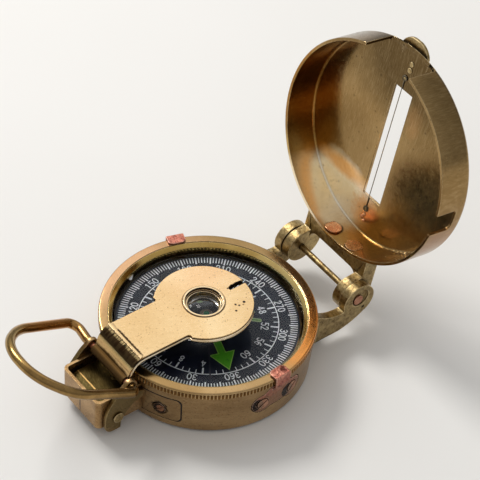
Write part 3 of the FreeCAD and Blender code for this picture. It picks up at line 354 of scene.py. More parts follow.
armBrass = wornMetal("armBrass", {
    "tones": ((222, 187, 136), (233, 202, 153), (239, 213, 168), (96, 62, 28), (252, 232, 198)),
    "edgeTone": 0.35, "cloudScale": 0.06, "mottleScale": 2.0, "mottleTone": 0.14,
    "patches": (
        # the slope behind the rib: dark olive at its top, pale below, with short black lines down it
        stain((0, -28.6, 20.0), (12, 1.9, 2.6), (196, 178, 122), 0.85, 0.25),
        stain((0, -27.15, 20.7), (12, 0.50, 1.2), (96, 88, 58), 0.85, 0.5, (0.3, 1.2)),
        # a dark seam round the bush
        stain((0, -1.7, 20.8), (5.72, 5.72, 1.4), (74, 46, 20), 0.85, 0.03, (0.01, 0.6), hole=0.95),
        # painted shade under the lip: tan below the slope, then the dark golden knuckle
        stain((0, -30.6, 17.6), (12, 1.9, 1.5), (190, 154, 100), 0.8, 0.4, (0.1, 0.6)),
        # dirt in the punched dots
        stain((5.86, 6.84, 20.7), (0.40, 0.40, 0.6), (20, 10, 4), 1.0, 0.2),
        stain((6.17, 5.07, 20.7), (0.30, 0.30, 0.6), (40, 24, 8), 0.95, 0.3),
        stain((5.4, 4.45, 20.7), (0.36, 0.28, 0.6), (52, 32, 10), 0.95, 0.3),
        stain((7.27, 3.28, 20.7), (0.32, 0.32, 0.6), (48, 28, 8), 0.95, 0.3),
        stain((6.5, 6.14, 20.7), (0.26, 0.26, 0.6), (110, 74, 30), 0.7, 0.5),
        # the strap is a shade browner
        stain((0, -21, 20.8), (12, 7, 2), (214, 180, 128), 0.6, 1.0, (0.2, 0.15)),
        # a rosy flush on the disc's left
        stain((-8.0, 4.0, 20.8), (7, 8, 2), (236, 192, 148), 0.5, 1.2),
    ),
    "sootAndShade": (
        stain((0, -27.75, 20.4), (12, 1.25, 2.0), (20, 19, 12), 0.95, 0.4,
              grain=((2.6, 0.30, 0.30), (0, 0, 4), 0.48, 0.55)),
        # grime along the rib's front side
        stain((0.6, -25.50, 20.8), (6.6, 0.34, 0.8), (40, 26, 12), 0.95, 0.5, (0.55, 1.6)),
        # the slit's torn border
        stain((-0.4, 8.75, 20.8), (0.66, 2.62, 1.6), (8, 5, 4), 1.0, 0.12, (0.30, 1.7)),
        # painted shade: the knuckle, dark golden in the lip's shadow
        stain((0, -32.0, 14.4), (14, 3.3, 3.2), (72, 50, 20), 0.96, 0.2, (0.08, 0.5)),
        # painted shade: the turned-down edge is dark below its corner
        stain((0, -4, 19.7), (90, 90, 0.80), (44, 28, 14), 0.95, 0.15, (0.05, 0.8)),
    ),
    "brush": ((4.0, 0.25, 2.0), (0, 0, 25)), "brushTone": 0.05, "brushStrength": 0.10,
    "nicks": ((1.9, 0.14, (0, 0, 38)), (1.5, 0.12, (0, 0, -35)), (2.6, 0.10, (0, 0, 80))), "nickTone": 0.60,
    "pitScale": 0.9, "pitTone": 0.85, "creaseReach": 0.5, "roughness": (0.18, 0.30), "lumpHeight": 0.02,
})

beadBrass = wornMetal("beadBrass", {
    "tones": ((226, 196, 150), (246, 224, 186), (255, 242, 214), (60, 38, 16), (255, 250, 236)),
    "mottleTone": 0.15, "brushTone": 0.03, "creaseReach": 0.25, "roughness": (0.14, 0.26),
    "lumpHeight": 0.02,
})

ringBrass = wornMetal("ringBrass", {
    "tones": ((122, 94, 54), (154, 122, 74), (188, 154, 100), (62, 42, 18), (255, 236, 184)),
    "cloudScale": 0.07, "mottleTone": 0.15,
    "patches": (
        stain((-10, -52, 28), (10, 7, 8), (160, 132, 72), 0.6, 1.0, (0.3, 0.2)),
        stain((-17, -40, 20), (7, 9, 8), (214, 138, 62), 0.5, 1.0, (0.3, 0.2)),
    ),
    "brushTone": 0.06, "nickTone": 0.35, "pitTone": 0.5, "creaseReach": 0.6, "roughness": (0.12, 0.24),
    "lumpScale": 0.5, "lumpHeight": 0.05,
})

trayBrass = wornMetal("trayBrass", {
    "tones": ((138, 106, 68), (168, 134, 92), (192, 158, 112), (30, 22, 11), (232, 204, 150)),
    "cloudScale": 0.12,
    "patches": (
        stain((0, -33.5, 9.0), (7.6, 6.0, 4.6), (70, 58, 28), 0.85, 0.25),
        stain((0, -27.0, 10.0), (7.8, 1.6, 7.0), (150, 104, 28), 0.6, 0.3),
        # a dark crack down the rear wall
        stain((0.1, -40.0, 7.6), (0.24, 0.7, 5.2), (22, 13, 7), 0.95, 0.4, (0.2, 0.8)),
    ),
    "roughness": (0.22, 0.38),
})

leafBrass = wornMetal("leafBrass", {
    "tones": ((44, 36, 16), (58, 47, 22), (74, 60, 31), (26, 20, 8), (206, 180, 120)),
    "cloudScale": 0.12, "mottleTone": 0.15,
    "patches": (
        stain((0, -36.3, 10.3), (7.0, 0.16, 0.8), (196, 156, 96), 0.8, 0.6, (0.25, 0.9)),
        stain((0, -29.6, 10.4), (6.6, 0.34, 0.8), (226, 188, 118), 0.8, 0.6, (0.5, 1.1)),
        stain((0, -38.0, 9.6), (6.8, 1.5, 1.6), (50, 42, 20), 0.85, 0.3, (0.2, 0.9)),
    ),
    "roughness": (0.30, 0.44),
})

lidBrass = wornMetal("lidBrass", {
    "tones": ((138, 108, 64), (158, 128, 82), (176, 146, 98), (44, 28, 10), (244, 218, 170)),
    "cloudScale": 0.035, "streak": (1.0, 0.5, 0.5), "mottleScale": 0.8, "mottleTone": 0.10,
    "patches": (
        # painted shade: golden brown at the left, under the rim's shade
        stain(lidPoint(-29.0, -4.0, 15.0), (7.5, 9, 17), (160, 112, 46), 0.85, 0.6, (0.15, 0.12)),
        stain(lidPoint(-23.5, 9.0, 21.4), (5.0, 4, 13), (158, 110, 42), 0.85, 0.6, (0.15, 0.12)),
        stain(lidPoint(-24.5, 17.0, 13.5), (6, 7, 5), (206, 172, 106), 0.8, 0.6, (0.1, 0.2)),
        stain(lidPoint(-12.0, 6.0, 21.4), (9, 4, 10), (126, 98, 56), 0.5, 0.8, (0.15, 0.15)),
        # the cream sheen low on the left
        stain(lidPoint(-12.5, 24.0, 20.0), (12.0, 10, 9.5), (255, 246, 226), 1.0, 0.45, (0.15, 0.14)),
        stain(lidPoint(-17.5, 24.5, 14.5), (9, 8, 7), (255, 236, 200), 1.0, 0.5, (0.12, 0.2)),
        stain(lidPoint(-12.5, 16.5, 21.4), (9, 4, 2.2), (244, 178, 88), 0.75, 0.8, (0.2, 0.2)),
        # gold towards the bottom and the lower wall
        stain(lidPoint(2.0, 28.0, 17.0), (14, 6, 7), (190, 146, 74), 0.55, 0.9, (0.1, 0.2)),
        # coppery rubbed place at the wire's front end, and one beside the slot
        stain(lidPoint(-1.5, 23.6, 21.4), (3.6, 4, 4.6), (246, 190, 130), 0.80, 0.8, (0.4, 0.4)),
        stain(lidPoint(6.5, -12.0, 21.4), (2.2, 4, 5.5), (216, 164, 108), 0.6, 0.9, (0.3, 0.4)),
        # a dull green cloud low on the right
        stain(lidPoint(15.5, 8.0, 21.4), (6.5, 6, 8), (104, 92, 54), 0.65, 1.1, (0.3, 0.2)),
        # browner towards the top and the right
        stain(lidPoint(0.0, -22.0, 20.0), (24, 10, 13), (82, 64, 36), 0.85, 0.9, (0.15, 0.12)),
        stain(lidPoint(14.0, 0.0, 21.0), (11, 6, 20), (122, 96, 56), 0.5, 1.0, (0.15, 0.12)),
        # dark rings round the two rivets
        *(stain((x, 44.4, 16.8), (2.75, 3.3, 3.3), (52, 26, 8), 0.9, 0.12, (0.06, 1.5))
          for x in (4.25, -4.25)),
        # a rosy stain outside, low on the right wall
        stain(lidPoint(30.0, 14.0, 16.0), (5, 7, 8), (176, 124, 92), 0.6, 1.2, (0.3, 0.3)),
    ),
    "brush": ((5.0, 0.35, 0.35), (0, 0, 0)), "brushStrength": 0.25,
    "nicks": ((3.4, 0.16, (0, 70, 0)), (2.8, 0.14, (0, 20, 30))), "nickTone": 0.35, "pitTone": 0.3,
    # painted highlight: the bright edge line runs along the inner corners too
    "creaseReach": 0.8, "brightCorners": True, "edgeRadius": 0.25, "roughness": (0.13, 0.24),
    "lumpScale": 0.25, "lumpHeight": 0.05,
})

castBrass = wornMetal("castBrass", {
    "tones": ((104, 84, 50), (156, 130, 84), (206, 182, 130), (34, 24, 13), (246, 224, 176)),
    "cloudScale": 0.18, "mottleScale": 1.1, "mottleTone": 0.55, "pitScale": 1.5,
    "pitTone": 0.8, "edgeRadius": 0.4, "edgeTone": 0.95, "roughness": (0.24, 0.44), "lumpScale": 0.9,
    "lumpHeight": 0.16, "lumpStrength": 0.55,
})

pinkCopper = wornMetal("pinkCopper", {
    "tones": ((160, 96, 74), (188, 126, 98), (214, 158, 128), (40, 18, 12), (250, 214, 184)),
    "cloudScale": 0.35, "mottleScale": 1.8,
    "patches": (
        # painted shadow: one side of each clip screw is black
        *(stain((x, y, 7.9), (1.8, 0.95, 1.9), (20, 10, 7), 1.0, 0.12, (0.2, 1.2))
          for x, y in ((27.7, -3.7), (26.6, 6.0))),
        stain((27.0, 2.2, 7.9), (3.0, 7.6, 3.0), (206, 164, 136), 0.5, 0.1),
    ),
    "creaseReach": 0.7, "roughness": (0.22, 0.40), "lumpHeight": 0.12, "lumpStrength": 0.45,
})

clipCopper = wornMetal("clipCopper", {
    "tones": ((124, 56, 46), (170, 92, 74), (216, 146, 124), (36, 14, 10), (252, 214, 190)),
    "cloudScale": 0.45, "mottleScale": 1.6, "mottleTone": 0.75,
    "patches": (
        # the plates below their necks go from pink to brass brown
        *(stain((x, y, 4.9), (9, 12, 5.8), (158, 122, 92), 0.85, 0.7, (0.3, 0.5))
          for x, y in ((27.6, 2.2), (-27.0, 9.0))),
        # blotches on the tongue and neck
        stain((27.0, 3.4, 15.2), (1.5, 0.9, 2.6), (60, 20, 16), 0.85, 0.4, (0.55, 1.1)),
        stain((28.3, 0.6, 13.2), (1.0, 0.8, 1.6), (52, 20, 14), 0.8, 0.4, (0.5, 1.2)),
        # painted shade: black pockets, wider on one side of each screw
        *(stain((x, y, 7.9), (2.2, wide, 2.2), (18, 9, 6), 1.0, 0.10, (0.15, 1.2)) for x, y, wide in (
            (27.3, -4.6, 1.9), (26.8, 5.1, 1.8), (-24.3, 12.2, 1.8), (-26.9, 3.2, 1.8),
        )),
    ),
    "pitScale": 1.3, "pitTone": 0.95, "creaseReach": 0.7, "edgeRadius": 0.35, "edgeTone": 0.9,
    "roughness": (0.22, 0.44), "lumpScale": 1.3, "lumpHeight": 0.28, "lumpStrength": 0.9,
})

pocketCopper = wornMetal("pocketCopper", {
    "tones": ((150, 98, 70), (180, 128, 96), (210, 162, 130), (30, 16, 10), (255, 222, 190)),
    "cloudScale": 0.35, "mottleScale": 1.8,
    "patches": (
        # painted shade lies round the rims of the two sunk screws
        *(stain((x, -23.78, 6.3), (2.6, 2.6, 2.6), (24, 13, 8), 0.95, 0.04, (0.05, 1.5), hole=0.50)
          for x in (12.78, -12.78)),
    ),
    "creaseReach": 0.5, "roughness": (0.22, 0.40),
})

rivetCopper = wornMetal("rivetCopper", {
    "tones": ((236, 150, 102), (248, 176, 126), (254, 198, 152), (70, 26, 10), (255, 226, 190)),
    "cloudScale": 0.5, "mottleScale": 1.5,
    "patches": (
        stain((4.25, 44.4, 16.8), (3.0, 4, 4), (184, 142, 92), 0.85, 0.3),
    ),
    "roughness": (0.20, 0.34), "lumpHeight": 0.10, "lumpStrength": 0.45,
})

bushBrass = wornMetal("bushBrass", {
    "tones": ((226, 194, 144), (242, 214, 168), (252, 230, 190), (70, 46, 20), (255, 252, 236)),
    "mottleTone": 0.12, "brushTone": 0.03, "creaseReach": 0.5,
    "patches": (
        stain((0, -1.7, 20.7), (5.02, 5.02, 2.0), (70, 44, 20), 0.85, 0.02, hole=0.965),
    ),
    "roughness": (0.10, 0.20), "lumpHeight": 0.02,
})

hubMetal = wornMetal("hubMetal", {
    "tones": ((176, 164, 146), (204, 194, 176), (222, 214, 198), (70, 58, 44), (240, 232, 216)),
    "creaseReach": 0.3, "metallic": 0.35, "roughness": (0.40, 0.55),
})

darkSteel = wornMetal("darkSteel", {
    "tones": ((50, 42, 34), (84, 74, 60), (140, 128, 106), (20, 14, 9), (214, 200, 168)),
    "roughness": (0.26, 0.44),
})


def dialEnamel():
    sheet = newSheet("dialEnamel")
    plain = sheet.place()
    cloud = sheet.noise(plain, 0.22, 5.0, 0.6)
    speck = sheet.span(sheet.cells(plain, 2.2), 0.09, 0.05)
    few = sheet.span(sheet.noise(plain, 0.8, 2.0), 0.62, 0.68)
    colour = sheet.blend(sheet.span(cloud, 0.35, 0.65), paint(12, 17, 30), paint(24, 32, 48))
    for spot in (
        stain((6, 8, 12.1), (14, 12, 2), (34, 42, 60), 0.6, 1.4),
        stain((2, -16, 12.1), (16, 9, 2), (10, 14, 40), 0.6, 1.4),
    ):
        colour = sheet.blend(sheet.patch(plain, spot), colour, spot["colour"])
    return sheet.finish({
        "Base Color": sheet.blend(sheet.times(speck, few), colour, paint(88, 96, 112)),
        "Roughness": sheet.span(cloud, 0.3, 0.7, 0.42, 0.56),
        "Normal": sheet.bump(sheet.noise(plain, 5.0, 4.0), 0.12, 0.02),
        "Specular IOR Level": 0.25,
    })


def printInk(name, full, thin):
    # printed ink, thinner in places
    sheet = newSheet(name)
    plain = sheet.place()
    wear = sheet.noise(plain, 1.2, 5.0, 0.6)
    return sheet.finish({
        "Base Color": sheet.blend(sheet.span(wear, 0.30, 0.48), paint(*thin), paint(*full)),
        "Roughness": sheet.span(wear, 0.3, 0.7, 0.45, 0.6),
        "Normal": sheet.bump(sheet.noise(plain, 6.0, 3.0), 0.15, 0.01),
    })


def clearGlass(name, tint, ior, mirror, bumpHeight):
    sheet = newSheet(name)
    plain = sheet.place()
    smear = sheet.noise(plain, 0.12, 4.0, 0.6, 1.5)
    return sheet.finish({
        "Base Color": tint,
        "Roughness": sheet.span(smear, 0.50, 0.75, 0.0, 0.04),
        "IOR": ior,
        "Specular Tint": (mirror, mirror, mirror, 1.0),
        "Transmission Weight": 1.0,
        "Normal": sheet.bump(sheet.noise(plain, 0.25, 2.0), 0.2, bumpHeight),
    })


def jewelGlass():
    sheet = newSheet("jewelGlass")
    deep = sheet.noise(sheet.place(), 1.4, 3.0, 0.5, 0.8)
    return sheet.finish({
        "Base Color": sheet.blend(sheet.span(deep, 0.35, 0.62), paint(20, 122, 84), paint(88, 206, 156)),
        "Roughness": sheet.span(deep, 0.3, 0.7, 0.08, 0.2),
        "Coat Weight": 1.0,
        "Coat Roughness": 0.04,
    })


def floorPaper():
    sheet = newSheet("floorPaper")
    plain = sheet.place()
    cloud = sheet.noise(plain, 0.01, 3.0, 0.5)
    return sheet.finish({
        "Base Color": sheet.blend(cloud, paint(233, 232, 229), paint(238, 237, 235)),
        "Roughness": 0.7,
        "Normal": sheet.bump(sheet.noise(plain, 2.0, 3.0), 0.05, 0.02),
    })


# painted shade: the near-black of the strip in the bracket's gap
def packedDirt():
    sheet = newSheet("paintedSeamShade")
    grain = sheet.noise(sheet.place(), 2.4, 4.0, 0.6)
    return sheet.finish({
        "Base Color": sheet.blend(sheet.span(grain, 0.35, 0.65), paint(14, 9, 6), paint(40, 28, 18)),
        "Roughness": sheet.span(grain, 0.3, 0.7, 0.6, 0.85),
        "Normal": sheet.bump(grain, 0.4, 0.05),
    })


paintedSeamShade = packedDirt()
dialBlack = dialEnamel()
whiteInk = printInk("whiteInk", (236, 240, 244), (176, 184, 194))
greenInk = printInk("greenInk", (78, 166, 22), (58, 138, 14))
greenEdgeInk = printInk("greenEdgeInk", (150, 204, 84), (110, 176, 50))
darkInk = printInk("darkInk", (8, 10, 30), (14, 18, 44))
lampGreenInk = printInk("lampGreenInk", (104, 146, 66), (80, 118, 50))
letterEdgeInk = printInk("letterEdgeInk", (160, 182, 134), (112, 138, 92))
windowGlass = clearGlass("windowGlass", (0.97, 0.985, 0.98, 1.0), 1.18, 0.8, 0.02)
lensGlass = clearGlass("lensGlass", (0.98, 0.99, 0.985, 1.0), 1.7, 0.12, 0.0)
jewelGreen = jewelGlass()
print("materials ready:", len(bpy.data.materials))


# Mesh helpers

def newPiece(name, mesh, material, body, stands=()):
    piece = bpy.data.objects.new(name, mesh)
    scene.collection.objects.link(piece)
    mesh.materials.clear()
    mesh.materials.append(material)
    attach(piece, body)
    if stands:
        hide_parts(*stands)
    return piece


def shade(mesh, degrees=32):
    mesh.shade_smooth()
    mesh.set_sharp_from_angle(angle=math.radians(degrees))


def meshFrom(name, verts, faces, degrees=32):
    mesh = bpy.data.meshes.new(name)
    mesh.from_pydata(verts, [], faces)
    mesh.validate()
    mesh.update()
    shade(mesh, degrees)
    return mesh


def meshOf(name, bm, degrees=None):
    mesh = bpy.data.meshes.new(name)
    bm.to_mesh(mesh)
    bm.free()
    if degrees:
        shade(mesh, degrees)
    return mesh


def drilled(mesh, holes):
    # small blind holes, (x, y, z of the mouth, radius, depth) in mm, cut into a copy of a mesh
    drill = bmesh.new()
    for x, y, z, radius, depth in holes:
        bmesh.ops.create_cone(
            drill, cap_ends=True, segments=10, radius1=radius * 0.55 * mm, radius2=radius * 1.15 * mm,
            depth=2 * depth * mm, matrix=Matrix.Translation(Vector((x, y, z)) * mm),
        )
    bits = meshOf("drill", drill)
    cutter = bpy.data.objects.new("drill", bits)
    holder = bpy.data.objects.new("drilled", mesh)
    scene.collection.objects.link(cutter)
    scene.collection.objects.link(holder)
    cut = holder.modifiers.new("drill", "BOOLEAN")
    cut.operation = "DIFFERENCE"
    cut.solver = "EXACT"
    cut.object = cutter
    bpy.context.view_layer.update()
    made = bpy.data.meshes.new_from_object(holder.evaluated_get(bpy.context.evaluated_depsgraph_get()))
    bpy.data.objects.remove(holder)
    bpy.data.objects.remove(cutter)
    bpy.data.meshes.remove(bits)
    return made


def bevelledCopy(node, material, width, angle=38, holes=()):
    # the construction's own shape with its edges broken, standing for the plain one
    source = frame["nodes"][node]
    bm = bmesh.new()
    bm.from_mesh(source.data)
    bmesh.ops.remove_doubles(bm, verts=bm.verts, dist=2e-6)
    solid = BVHTree.FromBMesh(bm)
    bmesh.ops.dissolve_limit(bm, angle_limit=math.radians(0.6), verts=bm.verts, edges=bm.edges)
    bm.normal_update()
    chosen = [e for e in bm.edges if e.is_manifold and e.calc_face_angle() > math.radians(angle)]
    bmesh.ops.bevel(
        bm, geom=chosen, offset=width * mm, offset_type="OFFSET", segments=2, profile=0.6,
        affect="EDGES", clamp_overlap=False, loop_slide=True,
    )
    for vert in bm.verts:
        # a corner that the bevel threw off goes back to the solid's surface
        near, _, _, away = solid.find_nearest(vert.co)
        if away > width * 0.8 * mm:
            vert.co = near
    bmesh.ops.remove_doubles(bm, verts=bm.verts, dist=1e-6)
    mesh = meshOf(node + ".bevelled", bm)
    if holes:
        mesh = drilled(mesh, holes)
        mesh.name = node + ".drilled"
    shade(mesh)
    piece = newPiece(node + "_dressed", mesh, material, source["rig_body"], (node,))
    # flat faces keep their own shading beside the rounded edges
    piece.modifiers.new("flatFirst", "WEIGHTED_NORMAL").keep_sharp = True


def dressAll(rows):
    for node, material, slotName, width in rows:
        bevelledCopy(node, material, width)


def dress(node, material):
    # a node whose plain shape is right keeps it and takes the finish
    for place in frame["nodes"][node].material_slots:
        place.material = material


def around(radius, turn, height):
    # a point round the case's axis, from mm
    return (radius * mm * math.cos(turn), radius * mm * math.sin(turn), height * mm)


def loopFaces(steps, count):
    # quads between a closed row of closed outlines, each with count points
    faces = []
    for step in range(steps):
        after = (step + 1) % steps
        for index in range(count):
            other = (index + 1) % count
            near, far = step * count, after * count
            faces.append((near + index, far + index, far + other, near + other))
    return faces


def turnedMesh(name, profile, steps):
    # profile is a closed outline of (radius, height) in mm
    turns = [2 * math.pi * step / steps for step in range(steps)]
    verts = [around(radius, turn, height) for turn in turns for radius, height in profile]
    return meshFrom(name, verts, loopFaces(steps, len(profile)))


def walk(path, closed):
    # each point of a line with the one before and the one after it
    points = [Vector(p) for p in path]
    count = len(points)
    for index, here in enumerate(points):
        before = points[index - 1] if closed or index else here
        after = points[(index + 1) % count] if closed or index + 1 < count else here
        yield before, here, after


def roundedProfile(points, radius, parts=3):
    # a closed outline with each corner cut by a small arc
    made = []
    for before, here, after in walk(points, True):
        reach = min(radius, (before - here).length * 0.45, (after - here).length * 0.45)
        start = here + (before - here).normalized() * reach
        end = here + (after - here).normalized() * reach
        for part in range(parts + 1):
            t = part / parts
            point = start * (1 - t) ** 2 + here * 2 * t * (1 - t) + end * t ** 2
            made.append((point.x, point.y))
    return made


def smoothLine(points, closed=False, parts=6):
    # a Catmull-Rom curve through the points
    count = len(points)
    made = []
    spans = count if closed else count - 1
    for index in range(spans):
        here = Vector(points[index])
        after = Vector(points[(index + 1) % count])
        before = Vector(points[(index - 1) % count]) if closed or index > 0 else here * 2 - after
        beyond = Vector(points[(index + 2) % count]) if closed or index + 2 < count else after * 2 - here
        for part in range(parts):
            t = part / parts
            made.append(0.5 * (
                2 * here
                + (after - before) * t
                + (2 * before - 5 * here + 4 * after - beyond) * t * t
                + (3 * here - before - 3 * after + beyond) * t ** 3
            ))
    if not closed:
        made.append(Vector(points[-1]))
    return made


def tubeMesh(name, path, sizes, sides, closed=False):
    # a round wire along points in mm, each with its radius, with rounded ends where it isn't closed
    rings = []
    side = None
    for (before, here, after), size in zip(walk(path, closed), sizes):
        along = (after - before).normalized()
        if side is None:
            side = along.orthogonal().normalized()
        side = (side - along * side.dot(along)).normalized()
        other = along.cross(side)
        rings.append((here, along, side, other, size))
    if not closed:
        for end, sign in ((0, -1), (-1, 1)):
            here, along, side, other, r = rings[end]
            caps = [(here + along * sign * r * 0.6, along, side, other, r * 0.8),
                    (here + along * sign * r * 0.95, along, side, other, r * 0.3)]
            rings = caps[::-1] + rings if end == 0 else rings + caps
    verts = []
    for here, along, side, other, r in rings:
        for part in range(sides):
            turn = 2 * math.pi * part / sides
            verts.append(tuple((here + (side * math.cos(turn) + other * math.sin(turn)) * r) * mm))
    faces = []
    total = len(rings)
    for index in range(total if closed else total - 1):
        after = (index + 1) % total
        for part in range(sides):
            over = (part + 1) % sides
            near, far = index * sides, after * sides
            faces.append((near + part, near + over, far + over, far + part))
    if not closed:
        faces.append(tuple(range(sides))[::-1])
        faces.append(tuple((total - 1) * sides + part for part in range(sides)))
    return meshFrom(name, verts, faces, 60)


# Case

def dressCase():
    dressAll((
        ("case_body", agedBrass, "aged_brass", 0.10),
        ("rear_bracket", bracketBrass, "aged_brass", 0.10),
        ("hinge_tray", trayBrass, "aged_brass", 0.08),
        ("arm_spring", leafBrass, "dull_brass", 0.06),
        ("bezel_clip_right", clipCopper, "copper", 0.08),
        ("bezel_clip_left", clipCopper, "copper", 0.08),
        ("clip_screws", pinkCopper, "copper", 0.07),
        ("bracket_screws", pocketCopper, "bright_brass", 0.08),
        ("tray_rivets", castBrass, "aged_brass", 0.10),
        ("spring_rivet", leafBrass, "bright_brass", 0.08),
        ("lens_arm_pin", pinkCopper, "copper", 0.06),
        ("lid_yoke", castBrass, "aged_brass", 0.16),
        ("yoke_screws", agedBrass, "bright_brass", 0.08),
        ("lid_hinge_pin", castBrass, "aged_brass", 0.08),
        ("hinge_washer", pinkCopper, "copper", 0.08),
        ("lock_pin", darkSteel, "steel", 0.05),
    ))
    dress("pivot_post", agedBrass)
    dress("pivot_needle", darkSteel)


seam = {
    "wallTop": 28.1,         # the case wall's radius at its top edge
    "top": 13.8,
    "taper": 0.065,
    "start": -129.9,         # azimuths of the band's two ends
    "end": -50.1,
    "low": 3.0,
    "high": 11.3,
    "corner": 1.5,
    "width": 0.42,
}


def bracketSeam():
    # painted shade: a black strip that fills the gap round the bracket's band
    half = (seam["end"] - seam["start"]) / 2
    middle = (seam["end"] + seam["start"]) / 2
    reach = math.radians(half) * seam["wallTop"]
    low, high, corner = seam["low"], seam["high"], seam["corner"]
    bends = [math.pi / 2 * part / 6 for part in range(7)]
    side = [(reach - corner + corner * math.cos(t), low + corner - corner * math.sin(t)) for t in bends[::-1]]
    side += [(reach - corner + corner * math.cos(t), high - corner + corner * math.sin(t)) for t in bends]
    path = side + [(x * reach / 12, high) for x in range(10, -11, -1)] + [(-x, z) for x, z in side[::-1]]
    bm = bmesh.new()
    rows = []
    for (x, z), (before, _, after) in zip(path, walk(path, False)):
        along = (after - before).normalized()
        wave = 0.8 + 0.5 * noise.noise(Vector((x * 0.8, z * 0.8, 4.0)))
        across = Vector((-along.y, along.x)) * seam["width"] / 2 * wave
        row = []
        for share, proud in ((-1, -0.02), (-0.6, 0.02), (0.6, 0.02), (1, -0.02)):
            px = x + across.x * share
            pz = z + across.y * share
            radius = seam["wallTop"] - (seam["top"] - pz) * seam["taper"] + proud
            row.append(bm.verts.new(around(radius, math.radians(middle) + px / seam["wallTop"], pz)))
        rows.append(row)
    for first, second in zip(rows, rows[1:]):
        for index in range(3):
            bm.faces.new((first[index], second[index], second[index + 1], first[index + 1]))
        bm.faces.new((first[3], second[3], second[0], first[0]))
    bm.faces.new(rows[0])
    bm.faces.new(rows[-1][::-1])
    bmesh.ops.recalc_face_normals(bm, faces=bm.faces)
    newPiece("bracket_seam_shade", meshOf("bracket_seam_shade", bm, 60), paintedSeamShade, "case")


dressCase()
bracketSeam()
print("case dressed")


# Bezel: a turned ring with a milled lower band

bezel = {
    "outer": 28.5,
    "low": 13.85,
    "millTop": 15.5,
    "top": 16.0,
    "skirt": 26.4,
    "skirtLow": 12.2,
    "seat": 26.0,
    "glassSeat": 25.6,
    "glassLow": 12.6,
    "glassTop": 13.7,
    "lip": 24.4,
    "teeth": 192,
    "toothDepth": 0.32,
    "edge": 0.45,
    "keeperOuter": 25.95,    # the retaining ring over the glass
    "keeperInner": 24.85,
    "keeperSlope": 14.85,    # height at which its upright inner side becomes the slope
    "keeperTop": 15.85,
    "keeperGap": 0.02,       # over the glass and round the outside
    "keeperRound": 0.08,
}


def milledRing():
    b = bezel
    outer, edge, top = b["outer"], b["edge"], b["top"]
    # rows up the outside and back down the inside: radius, height, and how deep the groove is there
    rows = [
        (outer - 0.12, b["low"], 0.0),
        (outer - 0.02, b["low"] + 0.10, 0.15),
        (outer - 0.02, b["low"] + 0.22, 0.75),
        (outer - 0.02, b["low"] + 0.38, 1.0),
        (outer - 0.02, b["millTop"] - 0.42, 1.0),
        (outer - 0.02, b["millTop"] - 0.22, 0.8),
        (outer - 0.01, b["millTop"] - 0.06, 0.2),
        (outer, b["millTop"] + 0.04, 0.0),
    ]
    for part in range(5):
        turn = math.pi / 2 * part / 4
        rows.append((outer - edge + edge * math.cos(turn), top - edge + edge * math.sin(turn), 0.0))
    rows += [(radius, height, 0.0) for radius, height in (
        (b["seat"] + 0.10, top),
        (b["seat"], top - 0.10),
        (b["seat"], b["glassTop"]),
        (b["glassSeat"], b["glassTop"]),
        (b["glassSeat"], b["glassLow"]),
        (b["lip"], b["glassLow"]),
        (b["lip"], b["skirtLow"]),
        (b["skirt"], b["skirtLow"]),
        (b["skirt"], b["low"]),
    )]
    shares = (0.0, 0.30, 0.48, 0.65, 0.82)       # across one tooth, and how deep the groove is there
    depths = (0.0, 0.0, 0.75, 1.0, 0.75)
    parts = len(shares)
    steps = b["teeth"] * parts
    verts = []
    for step in range(steps):
        tooth = step // parts
        turn = 2 * math.pi * (tooth + shares[step % parts]) / b["teeth"]
        wear = 0.85 + 0.3 * noise.noise(Vector((tooth * 0.7, 3.0, 1.0)))
        for radius, height, depth in rows:
            verts.append(around(radius - b["toothDepth"] * depth * depths[step % parts] * wear, turn, height))
    count = len(rows)
    mesh = meshFrom("bezel_ring_milled", verts, loopFaces(steps, count), 30)
    newPiece("bezel_ring_milled", mesh, bezelBrass, "bezel", ("bezel_ring",))
    mesh.materials.append(grooveBrass)
    for polygon in mesh.polygons:
        step, index = divmod(polygon.index, count)
        across = depths[step % parts] + depths[(step + 1) % parts]
        deep = rows[index][2] + rows[(index + 1) % count][2]
        polygon.material_index = 1 if across > 0.7 and deep > 0.8 else 0


def retainingRing():
    b = bezel
    gap = b["keeperGap"]
    outline = [
        (b["keeperInner"], b["glassTop"] + gap),
        (b["keeperOuter"] - gap, b["glassTop"] + gap),
        (b["keeperOuter"] - gap, b["keeperTop"]),
        (b["keeperOuter"] - 0.12, b["keeperTop"]),
        (b["keeperInner"], b["keeperSlope"]),
    ]
    mesh = turnedMesh("glass_ring_turned", roundedProfile(outline, b["keeperRound"]), 240)
    newPiece("glass_ring_turned", mesh, coneBrass, "bezel", ("glass_retaining_ring",))


milledRing()
retainingRing()
dress("bezel_glass", windowGlass)
print("bezel made")


# Dial print

dial = {
    "top": 12.1,             # face of the card
    "ink": 0.03,             # thickness of the print
    "north": -18.0,          # azimuth of the arrow
    "degreeOuter": 23.45,
    "degreeInner": 21.60,
    "tenInner": 21.20,
    "degreeWidth": 0.27,
    "tenWidth": 0.38,
    "circle": 18.48,
    "circleWidth": 0.26,
    "degreeNumbers": 19.85,
    "milInner": 17.15,
    "fourInner": 16.35,
    "milWidth": 0.20,
    "fourWidth": 0.44,
    "milNumbers": 14.85,
    "digitWidth": 1.02,
    "digitHeight": 1.86,
    "digitPitch": 1.40,
    "digitStroke": 0.25,
    "arrowTip": 17.53,
    "arrowBase": 11.65,
    "arrowHalf": 3.25,
    "shaftHalf": 0.92,
    "shaftFoot": 7.6,
    "arrowBorder": 0.22,
    "arrowRise": 0.10,       # how high the arrow and its border stand, and the arrow's broken edge
    "borderRise": 0.13,
    "arrowEdge": 0.06,
    "letters": 11.3,         # radius of the quarter letters' middle
    "letterHeight": 3.6,
    "letterWidths": {"E": 3.0, "S": 3.2, "W": 6.8},
    "letterStroke": 1.2,
    "letterFill": 0.55,      # stroke of the green in them, and how far it stands over the pale one
    "fillRise": 0.02,
}

